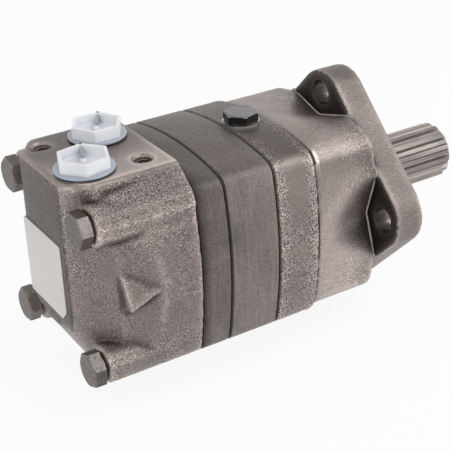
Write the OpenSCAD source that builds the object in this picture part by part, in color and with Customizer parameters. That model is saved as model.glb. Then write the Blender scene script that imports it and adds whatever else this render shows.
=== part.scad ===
// Orbital hydraulic motor with a four-bolt flange, a splined shaft and a rear port cover.
// X runs along the shaft, out of the flange. Z points up, through the port face.
// The origin is the centre of the flange's mounting face. All sizes are in millimetres.

/* [Flange] */
// Thickness of the mounting flange
flange_t = 17; // [14:0.5:20]
// Distance from the shaft axis to the flats of the square flange
flange_half = 51.3; // [49:0.1:54]
// Rounding of the flange's four lugs
flange_corner_r = 18.2; // [15:0.1:20]
// Diameter of the circle of flange holes
flange_bolt_circle = 106.4; // [104:0.1:108]
// Diameter of the flange holes
flange_hole_d = 13.5; // [11:0.5:14]
// Diameter of the pilot
pilot_d = 82.5; // [82:0.1:84]
// Height of the pilot over the mounting face
pilot_h = 4; // [3:0.5:6]
// Relief under the pilot, where the cover sits in the flange's recess
pilot_relief = 1.2; // [0.8:0.1:1.6]

/* [Housing] */
// Half width of the body, at the middle of a side
body_half = 49.8; // [49.4:0.1:51]
// Radius of the slightly bulged sides
side_r = 187; // [150:1:260]
// Rounding of the body's long edges
body_corner_r = 7.7; // [6:0.1:10]
// Rounding of the neck's long edges
neck_corner_r = 12.5; // [9:0.5:13]
// Step between the side of the rear band and the side of the neck
neck_drop = 0.9; // [0.5:0.1:1.2]
// Length of the neck behind the flange
neck_l = 37.5; // [36:0.5:42]
// Length of the rough rear band of the housing
band_l = 23.5; // [21:0.5:28]
// Distance from the shaft axis to the floor of a scooped side, at the flange
scoop_floor = 40.5; // [40:0.1:43]
// Angle of the scoop's flanks
scoop_flank = 17; // [12:1:22]
// Rounding at the bottom of a scoop
scoop_r = 14; // [8:1:24]

/* [Gear set] */
// Length of the gear ring, which sets the displacement
ring_l = 27.8; // [20:0.1:60]
// Radius of the circle of roller centres
roller_pitch_r = 36; // [35.8:0.1:36.4]
// Radius of a roller
roller_r = 7.2; // [6.6:0.1:7.4]
// Radius of the orbit of the star's centre
orbit_r = 2; // [1.6:0.1:2.2]
// Number of rollers, one more than the star's lobes
roller_count = 7; // [7:1:7]

/* [Valve end] */
// Length of the channel plate
plate_l = 15.7; // [14.5:0.1:18]
// Length of the end cover
cover_l = 57.9; // [56:0.1:62]
// Height of the port face over the shaft axis
port_face_z = 54.9; // [53:0.1:58]
// Half width of the port face
port_face_half = 32; // [30:0.5:35]
// Distance from the cover's front face to the seats of the tie bolts
seat_inset = 51.8; // [48:0.1:54]
// Distance from the cover's front face to the middle of the port pattern
port_inset = 29.3; // [28:0.1:31]
// Half of the distance between the ports, along the shaft
port_dx = 11.1; // [10.5:0.1:12]
// Half of the distance between the ports, across the shaft
port_dy = 15.7; // [15.2:0.1:17]
// Radius of a port's thread bore
port_r = 9.6; // [9.3:0.1:10]
// Half of the distance between the bracket holes, along the shaft
bracket_dx = 16.3; // [15.8:0.1:17]
// Half of the distance between the bracket holes, across the shaft
bracket_dy = 20.9; // [20.5:0.1:22]
// Radius of the core of an M10 thread in a bracket hole
bracket_hole_r = 4.25; // [4.2:0.05:5]
// Half width of the flat pad on the rear face
pad_half = 22.5; // [21.5:0.5:24]
// Height of the pad's lower edge
pad_low_z = -24; // [-26:0.5:-22]
// Length of the pad's tab below that edge
pad_tab = 6.7; // [4:0.1:8]

/* [Shaft] */
// Distance from the mounting face to the shaft's end
shaft_out = 63; // [56:0.5:70]
// Number of output spline teeth
spline_teeth = 14; // [13:1:15]
// Radius of the spline's tips
spline_tip_r = 15.6; // [15.2:0.1:15.9]
// Radius of the spline's roots
spline_root_r = 13.4; // [13:0.1:14]
// Distance from the mounting face to the start of the spline
spline_start = 10; // [9:0.5:16]
// Radius of the land that the seals run on
seal_land_r = 17.5; // [17:0.1:18]
// Radius of the two bearing seats
seat_r = 20; // [19.8:0.1:20.2]
// Radius of the collar in front of the front bearing
collar_r = 23.5; // [22.5:0.1:24]

/* [Bearings] */
// Outside radius of the front bearing
front_bearing_r = 31; // [30.8:0.1:31.4]
// Radius of a front bearing roller, at its middle
front_roller_r = 2.42; // [2.2:0.01:2.5]
// Width of the front bearing
front_bearing_w = 15; // [14.5:0.1:15.5]
// Outside radius of the rear bearing
rear_bearing_r = 34; // [33.8:0.1:34.4]
// Radius of a rear bearing roller, at its middle
rear_roller_r = 3.08; // [2.8:0.01:3.2]
// Width of the rear bearing
rear_bearing_w = 19; // [18.5:0.1:19.5]
// Length of the housing's land between the bearings
land_l = 11; // [10:0.5:12]
// Number of rollers in each bearing
bearing_rollers = 16; // [12:1:17]

/* [Fasteners] */
// Distance of the tie bolts from the sides of the body
bolt_inset = 12.7; // [12.3:0.1:13]
// Radius of the tie bolts
bolt_r = 5; // [4.5:0.1:5.2]
// Width across flats of a tie bolt's head
bolt_af = 16; // [15:0.5:17]
// Height of a tie bolt's head
bolt_head_h = 6.4; // [5.5:0.1:7]
// Length of a tie bolt's thread in the housing
thread_reach = 38; // [30:0.5:40]
// Radius of the bosses round the tie bolts
boss_r = 10.5; // [10:0.1:11]
// Width across flats of the drain plug
drain_af = 16; // [15:0.5:17]
// Height of the drain plug's head
drain_head_h = 5; // [4:0.5:7]

/* [Transit plugs] */
// Width across flats of a transit plug
plug_af = 23; // [21:0.5:24]
// Height of a transit plug's hexagon cup
plug_h = 7.2; // [6.5:0.1:9]
// Diameter of a transit plug's flange disc
plug_disc_d = 29; // [27:0.5:30]
// Wall of the hexagon cup
plug_wall = 1.8; // [1.2:0.1:2.4]
// Turn of the rear plug about its own axis
rear_plug_turn = 70; // [0:1:120]
// Turn of the front plug about its own axis
front_plug_turn = 60; // [0:1:120]

/* [Label plate] */
// Width of the label plate
label_w = 41; // [36:0.5:43]
// Height of the label plate
label_h = 41; // [36:0.5:44]
// Thickness of the label plate
label_t = 0.5; // [0.3:0.1:0.8]
// Middle of the label plate, across the cover
label_y = 2; // [-2:0.5:2]
// Middle of the label plate, over the shaft axis
label_z = 0.5; // [-2:0.5:2]
// Length of the label's clipped corner
label_cut = 5; // [0:0.5:8]

/* [Clearances] */
// Gap all round a piece that is pushed into a bore
fit_gap = 0.1; // [0.05:0.01:0.15]
// Gap of a piece that turns on another
run_gap = 0.05; // [0.03:0.01:0.06]
// Gap beside a tooth of the drive splines, which tilt as they turn
tilt_gap = 0.45; // [0.4:0.05:0.5]

/* [Hidden] */
$fn = 64;
LONG = 1.6 * body_half;
STAR_LOBES = roller_count - 1;
DRIVE_TEETH = 12;

// Stations along the shaft, counted backwards from the mounting face
neck_x = -flange_t;
band_x = neck_x - neck_l;
ring_x = band_x - band_l;
plate_x = ring_x - ring_l;
cover_x = plate_x - plate_l;
rear_x = cover_x - cover_l;
port_x = cover_x - port_inset;

// Tie bolt square, and the seals that run round just inside the bolts
bolt_at = body_half - bolt_inset;
ring_clear = 2.37;
section_ring_r = bolt_at * sqrt(2) - bolt_r - ring_clear;

// Front cover and the seals in it
front_recess = 4;
spigot_end = -15;
screw_circle_r = (front_bearing_r + pilot_d / 2) / 2 - 0.2;
screw_count = 6;
screw_turn = 15;
screw_r = 2.5;
screw_head_r = 4.2;
screw_head_h = pilot_h;
screw_depth = 13;
seal_pocket_r = 26;
seal_pocket_w = 8;
dust_pocket_r = 23.5;
dust_pocket_w = 5;
cover_bore_r = seal_land_r + 1.2;
cover_ring_r = 0.9;
cover_ring_x = -9;

// Shaft and bearing stations
collar_x = spigot_end - 0.5;
front_cone_x = collar_x - 3.5;
land_x = front_cone_x - front_bearing_w;
rear_land_x = land_x - land_l;
rear_cone_x = rear_land_x - rear_bearing_w;
cup_share = 0.78;
roller_tilt = 10;
roller_taper = 3;
washer_t = 1.2;
nut_w = 5.2;
nut_x = rear_cone_x - washer_t;
shaft_rear = nut_x - nut_w;
nut_bore_r = seat_r - 1;
nut_r = 26;
land_bore_r = 27.5;
land_relief = 0.3;
chamfer_l = 3;
chamfer_depth = 2;
wear_plate_t = 5.5;
wear_plate_r = (rear_bearing_r + section_ring_r) / 2 - 1.55;
wear_bore_r = 17;

// Drive splines of the shaft, the star and the disc valve
drive_minor = 11;
drive_major = 13;
drive_slot = 3.4;
valve_minor = 8.2;
valve_major = 9.8;
valve_slot = 2.8;
head_half = 6.5;
valve_head_half = 3.5;
head_drop = 0.45;
core_gap = 0.8;

// Centres of the four splined heads
head_inset = 25;
shaft_head_x = shaft_rear + head_inset;
star_head_x = ring_x - head_half - 2;
valve_head_x = plate_x + valve_head_half + 1.3;
disc_head_x = cover_x - 4.5;
cardan_tilt = atan(orbit_r / (shaft_head_x - star_head_x));
valve_tilt = atan(orbit_r / (valve_head_x - disc_head_x));
spacer_t = 2;
spacer_x = (star_head_x - head_half + valve_head_x + valve_head_half) / 2;

// The star's centre lies straight above the shaft axis, and the rollers are placed to match
orbit_angle = 90;
cavity_r = roller_pitch_r - roller_r + 2 * orbit_r + 0.4;
star_points_per_lobe = 28;
chamber_r = roller_pitch_r - 5;
port_circle_r = 25;
channel_r = 2.6;

// Valve parts in the end cover
disc_r = 29;
disc_w = 9.5;
balance_w = 7;
balance_r = 29.5;
balance_hub_r = 20;
balance_hub_l = 8;
balance_bore_r = 11;
valve_chamber_r = 33;
disc_rear = cover_x - run_gap - disc_w;
balance_rear = disc_rear - run_gap - balance_w;
chamber_rear = balance_rear - 1;
hub_rear = balance_rear - balance_hub_l;
rear_passage_r = 12;
rear_passage_end = rear_x + 11;
spring_at = 25.4;
spring_count = 4;
spring_r = 2.2;
spring_wire = 0.45;
spring_pocket_r = 3;
spring_pocket = 6;
spring_turns = 5;
pin_r = 1.5;
PIN_TURNS = [45, 225];
pin_depth = 5;
pin_reach = 3.5;
ring_groove_r = 0.95;
ring_groove_x = 3.6;

// Check valves in the channel plate
check_at = body_half - 11.2;
check_bore_r = 2.95;
check_ball_r = 2.7;
check_seat_r = 1.8;
check_depth = 9.5;
check_seat_l = 3.5;
check_seat_x = cover_x + check_depth - check_seat_l;

// Seals between the sections
section_cord_r = 0.68;
groove_depth = 1.4;
groove_half = 0.95;

// End cover's sloping walls and the ribs left standing on them
wall_knee_x = rear_x + 18.9;
wall_knee_y = body_half - 9.8;
wall_slope = 0.543;
bottom_slope = 1.97;
shoulder_y = body_half - 2.2;
shoulder_in = 2.4;
shoulder_up = 5.1;
shoulder_z = body_half - 11.3;
boss_l = 33;
spot_r = 11;
bolt_seat_x = cover_x - seat_inset;
valley_y = port_face_half + 2.5;
valley_rise = 6.5;
rib_top_z = 14.5;
rib_low_z = -12;
rib_out_z = -6.5;
rib_tip = 19;
pad_tab_l = 10;

// Tie bolts, drain plug and ports
bolt_tip_x = ring_x + thread_reach;
drain_x = ring_x + 11;
drain_spot_r = 10.5;
drain_spot_z = body_half - 0.6;
drain_washer_t = 1.2;
drain_washer_r = 9.6;
drain_r = 6;
drain_l = 11;
head_bevel = 1.2;
port_depth = 15;
port_drill_r = 6;
port_spot_r = plug_disc_d / 2 - 0.3;
port_spot = 0.4;
bracket_depth = 15;
plug_disc_t = 1.3;
plug_shank_r = port_r - 0.35;
plug_shank_l = 9;
plug_web = 1.4;
plug_nub_r = 1.5;
plug_floor = 2.2;
plug_lift = 0.8;
plug_cord_r = 0.39;
plug_ring_r = port_r + 1.6;

// Lists of nodes
FIXED_NODES = [
    "front_housing", "front_cover", "front_cover_screws", "front_cover_ring",
    "dust_seal", "shaft_seal", "output_shaft",
    "front_bearing_cone", "front_bearing_cup", "front_bearing_cage", "front_bearing_rollers",
    "rear_bearing_cone", "rear_bearing_cup", "rear_bearing_cage", "rear_bearing_rollers",
    "lock_washer", "bearing_nut", "wear_plate", "cardan_shaft", "gear_ring", "star_gear",
    "drive_spacer", "valve_drive", "channel_plate", "check_seats", "check_ball_left",
    "check_ball_right", "disc_valve", "balance_plate", "balance_ring", "balance_springs",
    "guide_pins", "end_cover", "section_rings", "tie_bolts", "drain_plug", "drain_washer",
    "rear_transit_plug", "rear_plug_ring", "front_transit_plug", "front_plug_ring", "label_plate"
];

// Points and outlines

function turned(p, a) = [p[0] * cos(a) - p[1] * sin(a), p[0] * sin(a) + p[1] * cos(a)];

function arc(c, r, a0, a1, n) = [
    for (i = [0 : n])
        let (a = a0 + (a1 - a0) * i / n)
        [c[0] + r * cos(a), c[1] + r * sin(a)]
];

// The arc without its two end points
function inner_arc(c, r, a0, a1, n) = [
    for (i = [1 : n - 1])
        let (a = a0 + (a1 - a0) * i / n)
        [c[0] + r * cos(a), c[1] + r * sin(a)]
];

// Distance of a corner's centre from both axes, where the corner runs smoothly into the sides
function corner_centre(half, bulge_r, corner_r) =
    let (a = bulge_r - half, b = bulge_r - corner_r)
    (sqrt(2 * b * b - a * a) - a) / 2;

// One bulged side and the corner after it, turned to side k
function side_and_corner(half, bulge_r, corner_r, k) =
    let (
        c = corner_centre(half, bulge_r, corner_r),
        t = atan2(c, c + bulge_r - half),
        side = arc([half - bulge_r, 0], bulge_r, -t, t, 12),
        corner = inner_arc([c, c], corner_r, t, 90 - t, 6)
    )
    [for (p = concat(side, corner)) turned(p, 90 * k)];

function bulged_square(half, bulge_r, corner_r) = [
    for (k = [0 : 3]) each side_and_corner(half, bulge_r, corner_r, k)
];

// The body's outline with the port block's shoulders in place of its two upper corners
function cover_outline() = concat(
    [
        for (k = [2 : 4], p = side_and_corner(body_half, side_r, body_corner_r, k))
            if (p[1] < shoulder_z - 1.5) p
    ],
    [
        [shoulder_y, shoulder_z], [shoulder_y - shoulder_in, shoulder_z + shoulder_up],
        [port_face_half + 2.4, port_face_z - 2.2], [port_face_half, port_face_z],
        [-port_face_half, port_face_z], [-port_face_half - 2.4, port_face_z - 2.2],
        [-shoulder_y + shoulder_in, shoulder_z + shoulder_up], [-shoulder_y, shoulder_z]
    ]
);

// A square standing on one corner, with round lugs
function flange_outline() =
    let (c = (flange_half - flange_corner_r) * sqrt(2))
    [for (k = [0 : 3]) each arc(turned([c, 0], 90 * k), flange_corner_r, 90 * k - 45, 90 * k + 45, 16)];

// Path of a roller's centre as the star sees it, and the star's outline inside that path
function roller_path(a) = [
    roller_pitch_r * cos(a) + orbit_r * cos(roller_count * a),
    roller_pitch_r * sin(a) + orbit_r * sin(roller_count * a)
];

function path_normal(a) =
    let (
        v = [
            roller_pitch_r * cos(a) + roller_count * orbit_r * cos(roller_count * a),
            roller_pitch_r * sin(a) + roller_count * orbit_r * sin(roller_count * a)
        ]
    )
    v / norm(v);

function star_outline() =
    let (n = STAR_LOBES * star_points_per_lobe)
    [for (i = [0 : n - 1]) let (a = 360 * i / n) roller_path(a) - (roller_r + run_gap) * path_normal(a)];

function spline_outline(teeth, root_r, tip_r) = [
    for (i = [0 : teeth - 1])
        let (a = 360 * i / teeth, pitch = 360 / teeth)
        each [
            turned([root_r, 0], a - 0.34 * pitch), turned([root_r + 0.5, 0], a - 0.28 * pitch),
            turned([tip_r, 0], a - 0.17 * pitch), turned([tip_r, 0], a + 0.17 * pitch),
            turned([root_r + 0.5, 0], a + 0.28 * pitch), turned([root_r, 0], a + 0.34 * pitch)
        ]
];

// Solids along the shaft axis

// Extrudes an outline drawn in Y and Z from x0 to x1
module along_x(x0, x1) {
    translate([x0, 0, 0]) rotate([90, 0, 90]) linear_extrude(x1 - x0) children();
}

module rod(x0, x1, r, y = 0, z = 0) {
    translate([x0, y, z]) rotate([0, 90, 0]) cylinder(h = x1 - x0, r = r);
}

module tube(x0, x1, r, bore_r) {
    difference() {
        rod(x0, x1, r);
        rod(x0 - 1, x1 + 1, bore_r);
    }
}

// Turns an outline drawn as [radius, x] round the shaft axis
module lathe(points) {
    rotate([90, 0, 90]) rotate_extrude() polygon(points);
}

module ring_on_x(x, r, cord_r) {
    translate([x, 0, 0]) rotate([0, 90, 0]) rotate_extrude() translate([r, 0]) circle(r = cord_r, $fn = 24);
}

module down(x, y, z_top, depth, r) {
    translate([x, y, z_top - depth]) cylinder(h = depth + 1, r = r);
}

module at_tie_bolts() {
    for (y = [-bolt_at, bolt_at], z = [-bolt_at, bolt_at]) translate([0, y, z]) children();
}

module tie_bolt_holes(x0, x1, r) {
    at_tie_bolts() rod(x0, x1, r);
}

module seal_groove(x_face, into) {
    x0 = into > 0 ? x_face - 1 : x_face - groove_depth;
    x1 = into > 0 ? x_face + groove_depth : x_face + 1;
    difference() {
        rod(x0, x1, section_ring_r + groove_half);
        rod(x0 - 1, x1 + 1, section_ring_r - groove_half);
    }
}

// Splined hole and splined head of the tilting drive shafts

module spline_slots(minor, major, slot) {
    circle(r = minor);
    intersection() {
        circle(r = major);
        for (i = [0 : DRIVE_TEETH / 2 - 1])
            rotate(i * 360 / DRIVE_TEETH) square([2 * major + 2, slot], center = true);
    }
}

module spline_bars(major, bar) {
    for (i = [0 : DRIVE_TEETH / 2 - 1])
        rotate(i * 360 / DRIVE_TEETH) square([2 * major + 2, bar], center = true);
}

module splined_head(x, half, minor, major, slot) {
    tip = major - 0.45;
    root = minor - core_gap;
    intersection() {
        along_x(x - half, x + half) {
            circle(r = root);
            spline_bars(major, slot - 2 * tilt_gap);
        }
        lathe([
            [0, x - half], [tip - head_drop, x - half], [tip - head_drop / 4, x - half / 2], [tip, x],
            [tip - head_drop / 4, x + half / 2], [tip - head_drop, x + half], [0, x + half]
        ]);
    }
}

// Housing

module scoop_cut() {
    half_w = 40;
    lift = scoop_r * (1 - cos(scoop_flank));
    run = scoop_r * sin(scoop_flank);
    rise = lift + (half_w - run) * tan(scoop_flank);
    depth = body_half - scoop_floor;
    tilt = atan(depth / neck_l);
    translate([neck_x, 0, scoop_floor])
        rotate([0, tilt, 0])
        along_x(-1.5 * neck_l, 10)
        polygon(concat(arc([0, scoop_r], scoop_r, -90 - scoop_flank, -90 + scoop_flank, 8),
            [[half_w, rise], [half_w, LONG], [-half_w, LONG], [-half_w, rise]]));
}

module neck() {
    difference() {
        along_x(band_x - 2, neck_x) polygon(bulged_square(body_half - neck_drop, side_r, neck_corner_r));
        for (k = [0 : 3]) rotate([90 * k, 0, 0]) scoop_cut();
    }
}

module front_housing() {
    color([0.47, 0.44, 0.42])
    difference() {
        union() {
            along_x(neck_x, 0) polygon(flange_outline());
            neck();
            along_x(ring_x, band_x) polygon(bulged_square(body_half, side_r, body_corner_r));
        }
        for (k = [0 : 3])
            rotate([90 * k, 0, 0]) rod(neck_x - 0.5, 1, flange_hole_d / 2, 0, flange_bolt_circle / 2);
        rod(-front_recess, 1, pilot_d / 2 + fit_gap);
        rod(land_x, 1, front_bearing_r);
        rod(rear_land_x - 1, land_x + 1, land_bore_r);
        rod(ring_x - 1, rear_land_x, rear_bearing_r);
        rod(ring_x - 1, ring_x + wear_plate_t, wear_plate_r);
        for (i = [0 : screw_count - 1])
            rotate([screw_turn + 360 / screw_count * i, 0, 0])
                rod(-front_recess - screw_depth - 1, 0, screw_r + 2 * fit_gap, 0, screw_circle_r);
        tie_bolt_holes(ring_x - 1, bolt_tip_x + 2, bolt_r + fit_gap);
        seal_groove(ring_x, 1);
        translate([drain_x, 0, drain_spot_z]) cylinder(h = 10, r = drain_spot_r);
        translate([drain_x, 0, rear_bearing_r - 4]) cylinder(h = 25, r = drain_r + fit_gap);
    }
}

module front_cover() {
    color([0.5, 0.48, 0.46])
    difference() {
        union() {
            rod(0, pilot_h, pilot_d / 2);
            rod(-front_recess, 0.5, pilot_d / 2 - pilot_relief);
            rod(spigot_end, 0, front_bearing_r - fit_gap);
        }
        rod(spigot_end - 1, pilot_h + 1, cover_bore_r);
        rod(spigot_end - 1, spigot_end + seal_pocket_w, seal_pocket_r);
        rod(pilot_h - dust_pocket_w, pilot_h + 1, dust_pocket_r);
        difference() {
            rod(cover_ring_x - 1.2 * cover_ring_r, cover_ring_x + 1.2 * cover_ring_r, front_bearing_r + 1);
            rod(cover_ring_x - 2, cover_ring_x + 2, front_bearing_r - 2 * cover_ring_r - fit_gap);
        }
        for (i = [0 : screw_count - 1])
            rotate([screw_turn + 360 / screw_count * i, 0, 0]) {
                rod(-front_recess - 1, pilot_h + 1, screw_r + 0.25, 0, screw_circle_r);
                rod(pilot_h - screw_head_h, pilot_h + 1, screw_head_r + 0.3, 0, screw_circle_r);
            }
    }
}

module front_cover_screws() {
    color([0.2, 0.2, 0.21])
    for (i = [0 : screw_count - 1])
        rotate([screw_turn + 360 / screw_count * i, 0, 0])
            difference() {
                union() {
                    rod(pilot_h - screw_head_h, pilot_h - 0.2, screw_head_r, 0, screw_circle_r);
                    rod(-front_recess - screw_depth, pilot_h - 1, screw_r, 0, screw_circle_r);
                }
                translate([pilot_h - 2.8, 0, screw_circle_r])
                    rotate([0, 90, 0]) cylinder(h = 4, r = 2.3, $fn = 6);
            }
}

module front_cover_ring() {
    color([0.08, 0.08, 0.08])
    ring_on_x(cover_ring_x, front_bearing_r - cover_ring_r - 0.02, cover_ring_r);
}

module dust_seal() {
    x0 = pilot_h - dust_pocket_w;
    lip = seal_land_r + run_gap;
    color([0.1, 0.1, 0.1])
    lathe([
        [dust_pocket_r - fit_gap, x0 + 0.1], [dust_pocket_r - fit_gap, pilot_h],
        [dust_pocket_r - 2, pilot_h], [lip + 1, pilot_h + 1.2], [lip, pilot_h + 1],
        [lip + 1.4, pilot_h - 2], [lip + 1.4, x0 + 0.1]
    ]);
}

module shaft_seal() {
    x0 = spigot_end + 0.4;
    x1 = spigot_end + seal_pocket_w;
    lip = seal_land_r + run_gap;
    color([0.12, 0.12, 0.12])
    lathe([
        [seal_pocket_r - fit_gap, x0], [seal_pocket_r - fit_gap, x1], [lip + 1.5, x1],
        [lip + 1, x1 - 2], [lip + 1.2, x0 + 2.6], [lip, x0 + 2], [lip + 1, x0 + 0.6],
        [lip + 2.4, x0 + 0.8], [lip + 3, x1 - 2.4], [seal_pocket_r - 1.6, x1 - 2.4], [seal_pocket_r - 1.6, x0]
    ]);
}

// Output shaft and its bearings

module output_shaft() {
    color([0.68, 0.67, 0.67])
    difference() {
        union() {
            intersection() {
                along_x(spline_start - 3, shaft_out + 1)
                    polygon(spline_outline(spline_teeth, spline_root_r, spline_tip_r));
                lathe([
                    [0, spline_start - 2], [spline_tip_r + 1, spline_start - 2],
                    [spline_tip_r + 1, shaft_out - chamfer_l],
                    [spline_tip_r - chamfer_depth, shaft_out], [0, shaft_out]
                ]);
            }
            lathe([
                [0, shaft_rear], [nut_bore_r - 0.1, shaft_rear], [nut_bore_r - 0.1, rear_cone_x],
                [seat_r, rear_cone_x], [seat_r, rear_land_x], [seat_r - land_relief, rear_land_x],
                [seat_r - land_relief, land_x], [seat_r, land_x], [seat_r, front_cone_x],
                [collar_r, front_cone_x], [collar_r, collar_x], [seal_land_r, collar_x],
                [seal_land_r, spline_start - 3], [seal_land_r - 1, spline_start - 1.6],
                [spline_root_r - 0.3, spline_start + 2], [0, spline_start + 2]
            ]);
        }
        along_x(shaft_rear - 1, shaft_head_x + head_half + 2.5)
            spline_slots(drive_minor, drive_major, drive_slot);
        rod(shaft_rear - 1, shaft_head_x + head_half + 6, drive_minor);
        rod(shaft_rear - 1, shaft_rear + 1.2, drive_major + 0.6);
        lathe([[0, shaft_out - 4], [3, shaft_out + 1], [0, shaft_out + 1]]);
    }
}

// Tapered roller bearings. The land is the housing shoulder that the outer race sits on,
// dir is 1 where the bearing lies in front of its land and -1 where it lies behind,
// and u is a distance from the land.

function pitch_r(outer_r) = (seat_r + outer_r) / 2;
function bearing_x(land, dir, u) = land + dir * u;

// Where a roller's middle lies, and half of its length
function roller_u(w) = w / 2 - 0.5;
function roller_at_r(outer_r) = pitch_r(outer_r) - 0.5 * tan(roller_tilt);
function roller_half(w) = (w - 5.5) / 2;

// Radius of the line along the outside or the inside of the rollers
function cup_line(outer_r, w, roller, u) =
    roller_at_r(outer_r) + roller * cos(roller_tilt) + run_gap
    + (u - roller_u(w) + roller * sin(roller_tilt)) * tan(roller_tilt + roller_taper);
function cone_line(outer_r, w, roller, u) =
    roller_at_r(outer_r) - roller * cos(roller_tilt) - run_gap
    + (u - roller_u(w) - roller * sin(roller_tilt)) * tan(roller_tilt - roller_taper);

module bearing_cup(land, dir, outer_r, w, roller) {
    cup_w = cup_share * w;
    lathe([
        [outer_r - fit_gap, bearing_x(land, dir, 0)], [outer_r - fit_gap, bearing_x(land, dir, cup_w)],
        [cup_line(outer_r, w, roller, cup_w), bearing_x(land, dir, cup_w)],
        [cup_line(outer_r, w, roller, 0), bearing_x(land, dir, 0)]
    ]);
}

module bearing_cone(land, dir, outer_r, w, roller) {
    rib0 = 1.6;
    rib1 = w - 2.6;
    r_small = cone_line(outer_r, w, roller, rib0);
    r_large = cone_line(outer_r, w, roller, rib1);
    lathe([
        [seat_r + 0.02, bearing_x(land, dir, 0.2)], [r_small + 0.8, bearing_x(land, dir, 0.2)],
        [r_small + 0.8, bearing_x(land, dir, rib0)], [r_small, bearing_x(land, dir, rib0)],
        [r_large, bearing_x(land, dir, rib1)], [r_large + 1.8, bearing_x(land, dir, rib1)],
        [r_large + 1.8, bearing_x(land, dir, w)], [seat_r + 0.02, bearing_x(land, dir, w)]
    ]);
}

// The rollers, or their windows in the cage where grow is more than nothing
module tapered_rollers(land, dir, outer_r, w, roller, grow) {
    half = roller_half(w) + grow;
    widening = half * tan(roller_taper);
    for (i = [0 : bearing_rollers - 1])
        rotate([360 / bearing_rollers * i, 0, 0])
            translate([bearing_x(land, dir, roller_u(w)), 0, roller_at_r(outer_r)])
            rotate([0, dir * (90 - roller_tilt), 0])
            translate([0, 0, -half])
            cylinder(h = 2 * half, r1 = roller - widening + grow, r2 = roller + widening + grow, $fn = 24);
}

module bearing_cage(land, dir, outer_r, w, roller) {
    mid = w / 2;
    half = w / 2 - 0.9;
    r_mid = pitch_r(outer_r) + 0.1;
    rise = half * tan(roller_tilt);
    thick = 1;
    difference() {
        lathe([
            [r_mid - rise - thick / 2, bearing_x(land, dir, mid - half)],
            [r_mid - rise + thick / 2, bearing_x(land, dir, mid - half)],
            [r_mid + rise + thick / 2, bearing_x(land, dir, mid + half)],
            [r_mid + rise - thick / 2, bearing_x(land, dir, mid + half)]
        ]);
        tapered_rollers(land, dir, outer_r, w, roller, 0.12);
    }
}

module front_bearing_cone() {
    color([0.6, 0.61, 0.63]) bearing_cone(land_x, 1, front_bearing_r, front_bearing_w, front_roller_r);
}

module front_bearing_cup() {
    color([0.55, 0.56, 0.58]) bearing_cup(land_x, 1, front_bearing_r, front_bearing_w, front_roller_r);
}

module front_bearing_cage() {
    color([0.45, 0.4, 0.3]) bearing_cage(land_x, 1, front_bearing_r, front_bearing_w, front_roller_r);
}

module front_bearing_rollers() {
    color([0.75, 0.75, 0.77])
    tapered_rollers(land_x, 1, front_bearing_r, front_bearing_w, front_roller_r, 0);
}

module rear_bearing_cone() {
    color([0.6, 0.61, 0.63]) bearing_cone(rear_land_x, -1, rear_bearing_r, rear_bearing_w, rear_roller_r);
}

module rear_bearing_cup() {
    color([0.55, 0.56, 0.58]) bearing_cup(rear_land_x, -1, rear_bearing_r, rear_bearing_w, rear_roller_r);
}

module rear_bearing_cage() {
    color([0.45, 0.4, 0.3]) bearing_cage(rear_land_x, -1, rear_bearing_r, rear_bearing_w, rear_roller_r);
}

module rear_bearing_rollers() {
    color([0.75, 0.75, 0.77])
    tapered_rollers(rear_land_x, -1, rear_bearing_r, rear_bearing_w, rear_roller_r, 0);
}

module lock_washer() {
    color([0.5, 0.5, 0.52])
    difference() {
        tube(nut_x, rear_cone_x, nut_r - 0.6, nut_bore_r);
        for (i = [0 : 5])
            rotate([60 * i + 30, 0, 0]) translate([nut_x - 1, -2.5, nut_r - 3]) cube([4, 5, 6]);
    }
}

module bearing_nut() {
    color([0.4, 0.4, 0.42])
    difference() {
        tube(shaft_rear, nut_x, nut_r, nut_bore_r);
        for (i = [0 : 3])
            rotate([90 * i, 0, 0]) translate([shaft_rear - 1, -2.5, nut_r - 2.2]) cube([nut_w + 2, 5, 6]);
    }
}

module wear_plate() {
    color([0.55, 0.54, 0.53]) tube(ring_x, ring_x + wear_plate_t, wear_plate_r - fit_gap, wear_bore_r);
}

// Drive: the cardan shaft, the gear set and the valve drive

module cardan_shaft() {
    reach = norm([shaft_head_x - star_head_x, orbit_r]);
    color([0.45, 0.45, 0.46])
    translate([shaft_head_x, 0, 0])
        rotate([0, cardan_tilt, 0]) {
            splined_head(0, head_half, drive_minor, drive_major, drive_slot);
            splined_head(-reach, head_half, drive_minor, drive_major, drive_slot);
            rod(-reach, 0, drive_minor - 2.6);
        }
}

module gear_ring() {
    color([0.29, 0.28, 0.27])
    difference() {
        along_x(plate_x, ring_x) polygon(bulged_square(body_half, side_r, body_corner_r));
        rod(plate_x - 1, ring_x + 1, cavity_r);
        for (i = [1 : roller_count])
            rotate([roller_angle(i), 0, 0])
                rod(plate_x - 1, ring_x + 1, roller_r + run_gap, roller_pitch_r, 0);
        tie_bolt_holes(plate_x - 1, ring_x + 1, bolt_r + 0.5);
    }
}

function roller_angle(i) = orbit_angle + 360 / roller_count * (i - 0.5);

module gear_roller(i) {
    color([0.72, 0.72, 0.74])
    rotate([roller_angle(i), 0, 0]) rod(plate_x + run_gap, ring_x - run_gap, roller_r, roller_pitch_r, 0);
}

module star_gear() {
    color([0.5, 0.5, 0.51])
    translate([0, 0, orbit_r])
    difference() {
        along_x(plate_x + run_gap, ring_x - run_gap) rotate(orbit_angle) polygon(star_outline());
        along_x(plate_x - 1, ring_x + 1) spline_slots(drive_minor, drive_major, drive_slot);
    }
}

module drive_spacer() {
    color([0.6, 0.6, 0.6])
    translate([0, 0, orbit_r]) rod(spacer_x - spacer_t / 2, spacer_x + spacer_t / 2, drive_minor - 0.4);
}

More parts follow.
